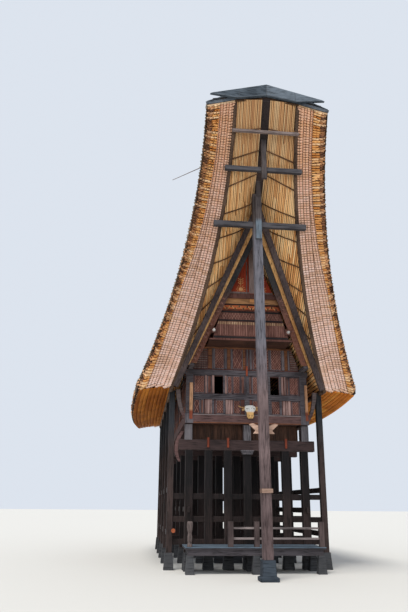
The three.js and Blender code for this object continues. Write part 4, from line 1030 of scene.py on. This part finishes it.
for side, sign in SIDES.items():
    random = np.random.default_rng(31 + sign)
    swept = culm_places(CULM_PITCH)
    swept = swept[np.abs(swept) > 0.985]
    high = np.abs(swept) - 1
    battens = []
    for number, band in enumerate(BANDS, 1):
        to = band_edge(band, high)
        ragged = random.normal(0, BAND_UNEVEN["length"], len(swept))
        normal = outward(1.3, band["layer"], swept)
        depth = (BAND_CULM["depth"] + random.normal(0, BAND_UNEVEN["depth"], len(swept)))[:, None]
        start = slope(band["from"], band["layer"], fan(swept, band["from"])) + normal * depth
        end = slope(to + ragged, band["layer"], fan(swept, to)) + normal * depth
        size = BAND_CULM["half"] * CULM_PITCH * random.uniform(*BAND_UNEVEN["size"], len(swept))
        culms(f"edge_band_{number}_{side}", rod(8, 1), (start, end), normal, (size, size), sign, [pinkish])
        for out in (-1, 1):
            steps = out * np.linspace(0.99, 2, BATTEN["steps"])
            reach = band_edge(band, np.abs(steps) - 1)
            below = outward(1.3, band["layer"], steps) * STICK_DEPTH
            for inset in band["battens"]:
                radius = BATTEN["first" if inset < 0.1 else "later"]
                line = (slope(reach - inset, band["layer"], steps) + below) * (sign, 1, 1)
                battens += [[*a, *b, radius, radius] for a, b in zip(line, line[1:])]
    # The battens are real ties, drawn dark so that they also stand for the shadow at each layer's step: partly
    # painted shade.
    rods(f"edge_battens_{side}", battens, [stick_brown], 5)

    strips = []
    for across in EAVE_STRIP["at"]:
        start = -1.0
        while start < 1:
            stop = min(1.0, start + random.uniform(*EAVE_STRIP["length"]))
            strips.append((across, start, stop, random.uniform(-1, 1)))
            start = stop
    strips = np.array(strips)

    def strip_put(points):
        across, start, stop, lift = (strips[:, i][:, None] for i in range(4))
        place = start + (stop - start) * points[..., 0]
        over = across + points[..., 1] * EAVE_STRIP["half"] + 0 * place
        layer = EAVE_STRIP["lift"] * np.maximum(over - EAVE_STRIP["rises_from"], 0)
        depth = EAVE_STRIP["depth"] + lift * EAVE_STRIP["uneven"] + points[..., 2] * EAVE_STRIP["thick"]
        placed = slope(over, layer, place) + outward(over, layer, place) * depth[..., None]
        return placed * (sign, 1, 1)

    eave_painted_light_and_shade = bamboo(f"eave_bamboo_lit_and_shaded_{side}", EAVE_LIT_AND_SHADED_TONES[side], EAVE_LIT_AND_SHADED_STAINS[side], 0.5, 0.85, spread=0.4)
    lay(f"eave_strips_{side}", rod(8, 8), len(strips), strip_put, [eave_painted_light_and_shade])

# Roof edge, outside: the cut ends of the upper layers, hollow and uneven, each row reaching a
# little past the one below and drooping from its own weight. Fresh cuts are orange or straw
# coloured, and those that the rain runs over have gone nearly black.
END_ROWS = [
    {"from": (1.68, 1.50), "to": (1.86, 1.68), "layer": (0.42, 0.42), "droop": 0.050, "fresh": True},
    {"from": (1.72, 1.58), "to": (1.92, 1.80), "layer": (0.45, 0.45), "droop": 0.055, "fresh": True},
    {"from": (1.76, 1.68), "to": (1.970, 1.92), "layer": (0.54, 0.54), "droop": 0.045, "fresh": False},
    {"from": (1.80, 1.74), "to": (1.995, 1.985), "layer": (0.66, 0.70), "droop": 0.028, "fresh": False},
    {"from": (1.82, 1.80), "to": (2.005, 2.000), "layer": (0.84, 0.86), "droop": 0.010, "fresh": False},
]
END_PITCH = 0.064
END_HOLLOW = 0.10
END_UNEVEN = {"place": 0.0007, "length": 0.022, "within": (-0.050, 0.024), "droop": 0.007, "size": (0.32, 0.42)}
fresh_tones = [
    (0.16, 0.16, 0.058, 0.020), (0.34, 0.62, 0.240, 0.060), (0.58, 0.84, 0.450, 0.160), (0.86, 0.94, 0.70, 0.44),
]
fresh_ends = bamboo("fresh_cut_bamboo", fresh_tones, (0.24, 0.080, 0.020), 0.18, 0.6, 0.3, 0.48)
black_tones = [
    (0.16, 0.060, 0.036, 0.026), (0.42, 0.21, 0.095, 0.054), (0.64, 0.58, 0.270, 0.110), (0.90, 0.82, 0.56, 0.35),
]
dark_ends = bamboo("rain_black_bamboo", black_tones, (0.055, 0.034, 0.026), 0.22, 0.7, 0.3, 0.54)
# Painted shade: the sunk hollows at the cut ends are painted near black for the shade inside the culms.
hollow_shade_tones = [(0.2, 0.020, 0.010, 0.006), (0.8, 0.07, 0.035, 0.018)]
hollow_painted_shade = bamboo("bamboo_hollow_painted_shade", hollow_shade_tones, (0.02, 0.01, 0.006), 0.6, 0.8)
for side, sign in SIDES.items():
    random = np.random.default_rng(71 + sign)
    for number, row in enumerate(END_ROWS, 1):
        places = culm_places(END_PITCH, 1.997)
        places = np.clip(places + random.normal(0, END_UNEVEN["place"], len(places)), -1.998, 1.998)
        high = np.maximum(np.abs(places) - 1, 0)
        begin, to, layer = (np.interp(high, (0, 1), row[key]) for key in ("from", "to", "layer"))
        to = to + np.clip(random.normal(0, END_UNEVEN["length"], len(places)), *END_UNEVEN["within"])
        normal = outward(1.5, layer, places)
        start = slope(begin, layer, fan(places, begin))
        droop = (row["droop"] + random.normal(0, END_UNEVEN["droop"], len(places)))[:, None]
        line = start, slope(to, layer, fan(places, to)) + normal * droop
        size = END_PITCH * random.uniform(*END_UNEVEN["size"], len(places))
        finish = [fresh_ends if row["fresh"] else dark_ends, hollow_painted_shade]
        culms(f"cut_ends_{number}_{side}", rod(7, 1, END_HOLLOW), line, normal, (size, size * 0.96), sign, finish)

# Roof covering: half culms laid down the slope in courses, each lapping the one below it, grey
# from sun and rain. They are thickest at the eaves and close up towards the ridge.
LAPS = [0.42, 0.68, 0.94, 1.20, 1.50, 1.80, 1.99]
COURSE_PITCH = 0.074
UNDER_COVER = 0.31
COURSE_LIFTS = (0.008, 0.012)
COURSE_UNEVEN = {"place": 0.0012, "length": 0.010, "within": (-0.02, 0.015), "lift": 0.003, "size": (0.92, 1.06)}
grey_tones = [
    (0.15, 0.07, 0.056, 0.046), (0.4, 0.19, 0.155, 0.12), (0.65, 0.33, 0.275, 0.215), (0.9, 0.46, 0.40, 0.32),
]
grey_bamboo = bamboo("grey_roof_bamboo", grey_tones, (0.09, 0.08, 0.06), 0.6, 0.8)
for side, sign in SIDES.items():
    random = np.random.default_rng(91 + sign)
    places = culm_places(COURSE_PITCH, 1.994)
    begin = (UNDER_COVER - RIDGE["half"]) / (roof_line(EAVE_POLE, places)[0] - RIDGE["half"])
    for number, lap in enumerate(LAPS, 1):
        shift = np.clip(places + random.normal(0, COURSE_UNEVEN["place"], len(places)), -1.996, 1.996)
        ragged = np.clip(random.normal(0, COURSE_UNEVEN["length"], len(places)), *COURSE_UNEVEN["within"])
        from_layer = 1 + (begin / LAPS[0] if number == 1 else 0)
        to_layer = 2 if number < len(LAPS) else 1
        normal = -outward((begin + lap) / 2, 1, shift)
        start = slope(begin, from_layer, shift) + normal * COURSE_LIFTS[0]
        lift = COURSE_LIFTS[1] + random.normal(0, COURSE_UNEVEN["lift"], len(places))[:, None]
        line = start, slope(lap + ragged, to_layer, shift) + normal * lift
        radius = []
        for across in (begin, lap):
            spacing = np.linalg.norm(np.gradient(slope(across, 1, places), axis=0), axis=1)
            radius.append(0.52 * spacing * random.uniform(*COURSE_UNEVEN["size"], len(places)))
        culms(f"roof_course_{number}_{side}", rod(7, 1), line, normal, radius, sign, [grey_bamboo])
        begin = lap

# Ridge cover: sheet metal folded over the ridge in lengths that lap at raised seams, with a wide
# fascia hung across each tip. A darker flat sheet covers the bamboo's cut end from the fascia's
# folds out to the corners, over a pale lath, and one loose stick pokes out of the front left edge.
SEAM_PLACES = [-1.86, -1.66, -1.45, -1.24, -1.0, -0.67, -0.33, 0, 0.33, 0.67, 1.0, 1.24, 1.45, 1.66, 1.86]
SEAM_RADIUS = 0.011
COVER = {"half": 0.352, "seam": (0, 0, 0.046), "tuck": 0.06, "tuck_from": 7.0, "tuck_over": 0.33}
FASCIA = {"tip": 7.393, "skew": 0.0842, "raised": 0.03}
FASCIA_SEAMS = [
    ((0, 11.18), (0, 11.49), 0.009), ((0, 11.192), (0.75, 11.009), 0.008), ((0.75, 11.009), (1.36, 11.045), 0.007),
    ((0.70, 11.02), (0.70, 11.25), 0.006),
]
CORNER_SHEETS = [
    ((0.95, 7.33, 11.080), (1.51, 7.36, 10.810), (0.26, 0.010)),
    ((0.80, 7.385, 11.020), (1.52, 7.485, 10.755), (0.010, 0.085)),
]
TIP_LATH = ((0.80, 7.375, 10.950), (1.49, 7.470, 10.690), (0.016, 0.045))
STICK = ((-1.40, -6.19, 9.82), (-2.233, -6.20, 9.339))
sheet = timber("ridge_sheet", (0.026, 0.037, 0.049), (0.120, 0.148, 0.180), "x", 0.42)
sheet_dark = timber("corner_sheet", (0.035, 0.042, 0.052), (0.130, 0.150, 0.175), "x", 0.5)
lath_tan = timber("pale_lath", (0.30, 0.18, 0.09), (0.64, 0.45, 0.28), "x")
cover = dress("ridge_cap", [sheet, sheet_dark], 0.004)
for corner in cover.data.vertices:
    far = (abs(corner.co.y) - COVER["tuck_from"]) / COVER["tuck_over"]
    wide = abs(corner.co.x) / COVER["half"]
    if wide < 1.003:
        corner.co.z -= COVER["tuck"] * min(max(far, 0), 1) * wide
    else:
        corner.co.z += FASCIA["raised"] * (abs(corner.co.x) - COVER["half"])
seams = []
for place in SEAM_PLACES:
    pole_x = roof_line(EAVE_POLE, np.array(place))[0]
    outer = slope((COVER["half"] - RIDGE["half"]) / (pole_x - RIDGE["half"]), 1, place) + COVER["seam"]
    inner = slope(0, 1, place) + COVER["seam"]
    left_inner, left_outer = inner * (-1, 1, 1), outer * (-1, 1, 1)
    for start, stop in ((left_inner, left_outer), (inner, outer), (left_inner, inner)):
        seams.append([*start, *stop, SEAM_RADIUS, SEAM_RADIUS])
rods("ridge_seams", seams, [sheet_dark], 6)
for end, out in ENDS.items():
    def on_fascia(x, z):
        return (x, out * (FASCIA["tip"] + FASCIA["skew"] * abs(x)), z)

    def sheets(rows):
        mirrored = [(np.array((sign, out, 1)), row) for sign in (-1, 1) for row in rows]
        return [[*(start * turn), *(stop * turn), 0, 1, 0, *size] for turn, (start, stop, size) in mirrored]

    seams = []
    for sign in (-1, 1):
        for (x, z), (to_x, to_z), radius in FASCIA_SEAMS[0 if sign < 0 else 1:]:
            seams.append([*on_fascia(sign * x, z), *on_fascia(sign * to_x, to_z), radius, radius])
    rods(f"fascia_seams_{end}", seams, [sheet_dark], 6)
    bars(f"corner_sheets_{end}", sheets(CORNER_SHEETS), [sheet_dark])
    bars(f"tip_laths_{end}", sheets([TIP_LATH]), [lath_tan])
rods("loose_stick", [[*STICK[0], *STICK[1], 0.011, 0.007]], [pink_cross], 6)

# Stage: a plain pale floor, soft light from the sky, a large light from the upper left and a
# weak one from the front
FLOOR_SIZE = 400.0
ground = bmesh.new()
bmesh.ops.create_grid(ground, x_segments=1, y_segments=1, size=FLOOR_SIZE / 2)
ground_mesh = bpy.data.meshes.new("stage_floor")
ground.to_mesh(ground_mesh)
ground.free()
stage_floor = bpy.data.objects.new("stage_floor", ground_mesh)
bpy.context.scene.collection.objects.link(stage_floor)
pale_floor = bpy.data.materials.new("pale_floor")
pale_floor.use_nodes = True
floor_inputs = pale_floor.node_tree.nodes["Principled BSDF"].inputs
floor_inputs["Base Color"].default_value = (0.56, 0.55, 0.52, 1)
floor_inputs["Roughness"].default_value = 0.9
ground_mesh.materials.append(pale_floor)

world = bpy.data.worlds.new("studio")
bpy.context.scene.world = world
world.use_nodes = True
sky = world.node_tree.nodes["Background"].inputs
sky["Color"].default_value = (0.80, 0.86, 0.95, 1)
sky["Strength"].default_value = 0.9
bpy.context.scene.view_settings.view_transform = "Standard"

AIM = Vector((0, 0, 4))
LIGHTS = {
    "soft_sun": {"place": (-6.0, -9.0, 26.0), "strength": 2.8, "angle": 0.35, "colour": (1.0, 0.96, 0.90)},
    "front_fill": {"place": (-6.0, -24.0, 6.0), "strength": 0.9, "angle": 0.8, "colour": (1.0, 0.98, 0.95)},
}
for name, lamp in LIGHTS.items():
    data = bpy.data.lights.new(name, "SUN")
    data.energy = lamp["strength"]
    data.angle = lamp["angle"]
    data.color = lamp["colour"]
    light = bpy.data.objects.new(name, data)
    light.location = lamp["place"]
    light.rotation_euler = (AIM - Vector(lamp["place"])).to_track_quat("-Z", "Y").to_euler()
    bpy.context.scene.collection.objects.link(light)

# Camera: at a standing person's eye height in front of the house and a little to the left,
# looking up, where the photograph was taken. Its lens is given in pixels of the photograph.
CAMERA = {"place": (-2.784, -19.78, 1.5), "yaw": 5.78, "pitch": 18.27, "roll": 0.41}
LENS = {"film": 36, "focal_px": 604.7, "frame_px": 612}
camera_data = bpy.data.cameras.new("camera")
camera_data.sensor_fit = "VERTICAL"
camera_data.sensor_height = LENS["film"]
camera_data.lens = LENS["film"] * LENS["focal_px"] / LENS["frame_px"]
camera = bpy.data.objects.new("camera", camera_data)
turn = (
    Matrix.Rotation(math.radians(-CAMERA["yaw"]), 4, "Z")
    @ Matrix.Rotation(math.radians(90 + CAMERA["pitch"]), 4, "X")
    @ Matrix.Rotation(math.radians(CAMERA["roll"]), 4, "Z")
)
camera.matrix_world = Matrix.Translation(CAMERA["place"]) @ turn
bpy.context.scene.collection.objects.link(camera)
bpy.context.scene.camera = camera
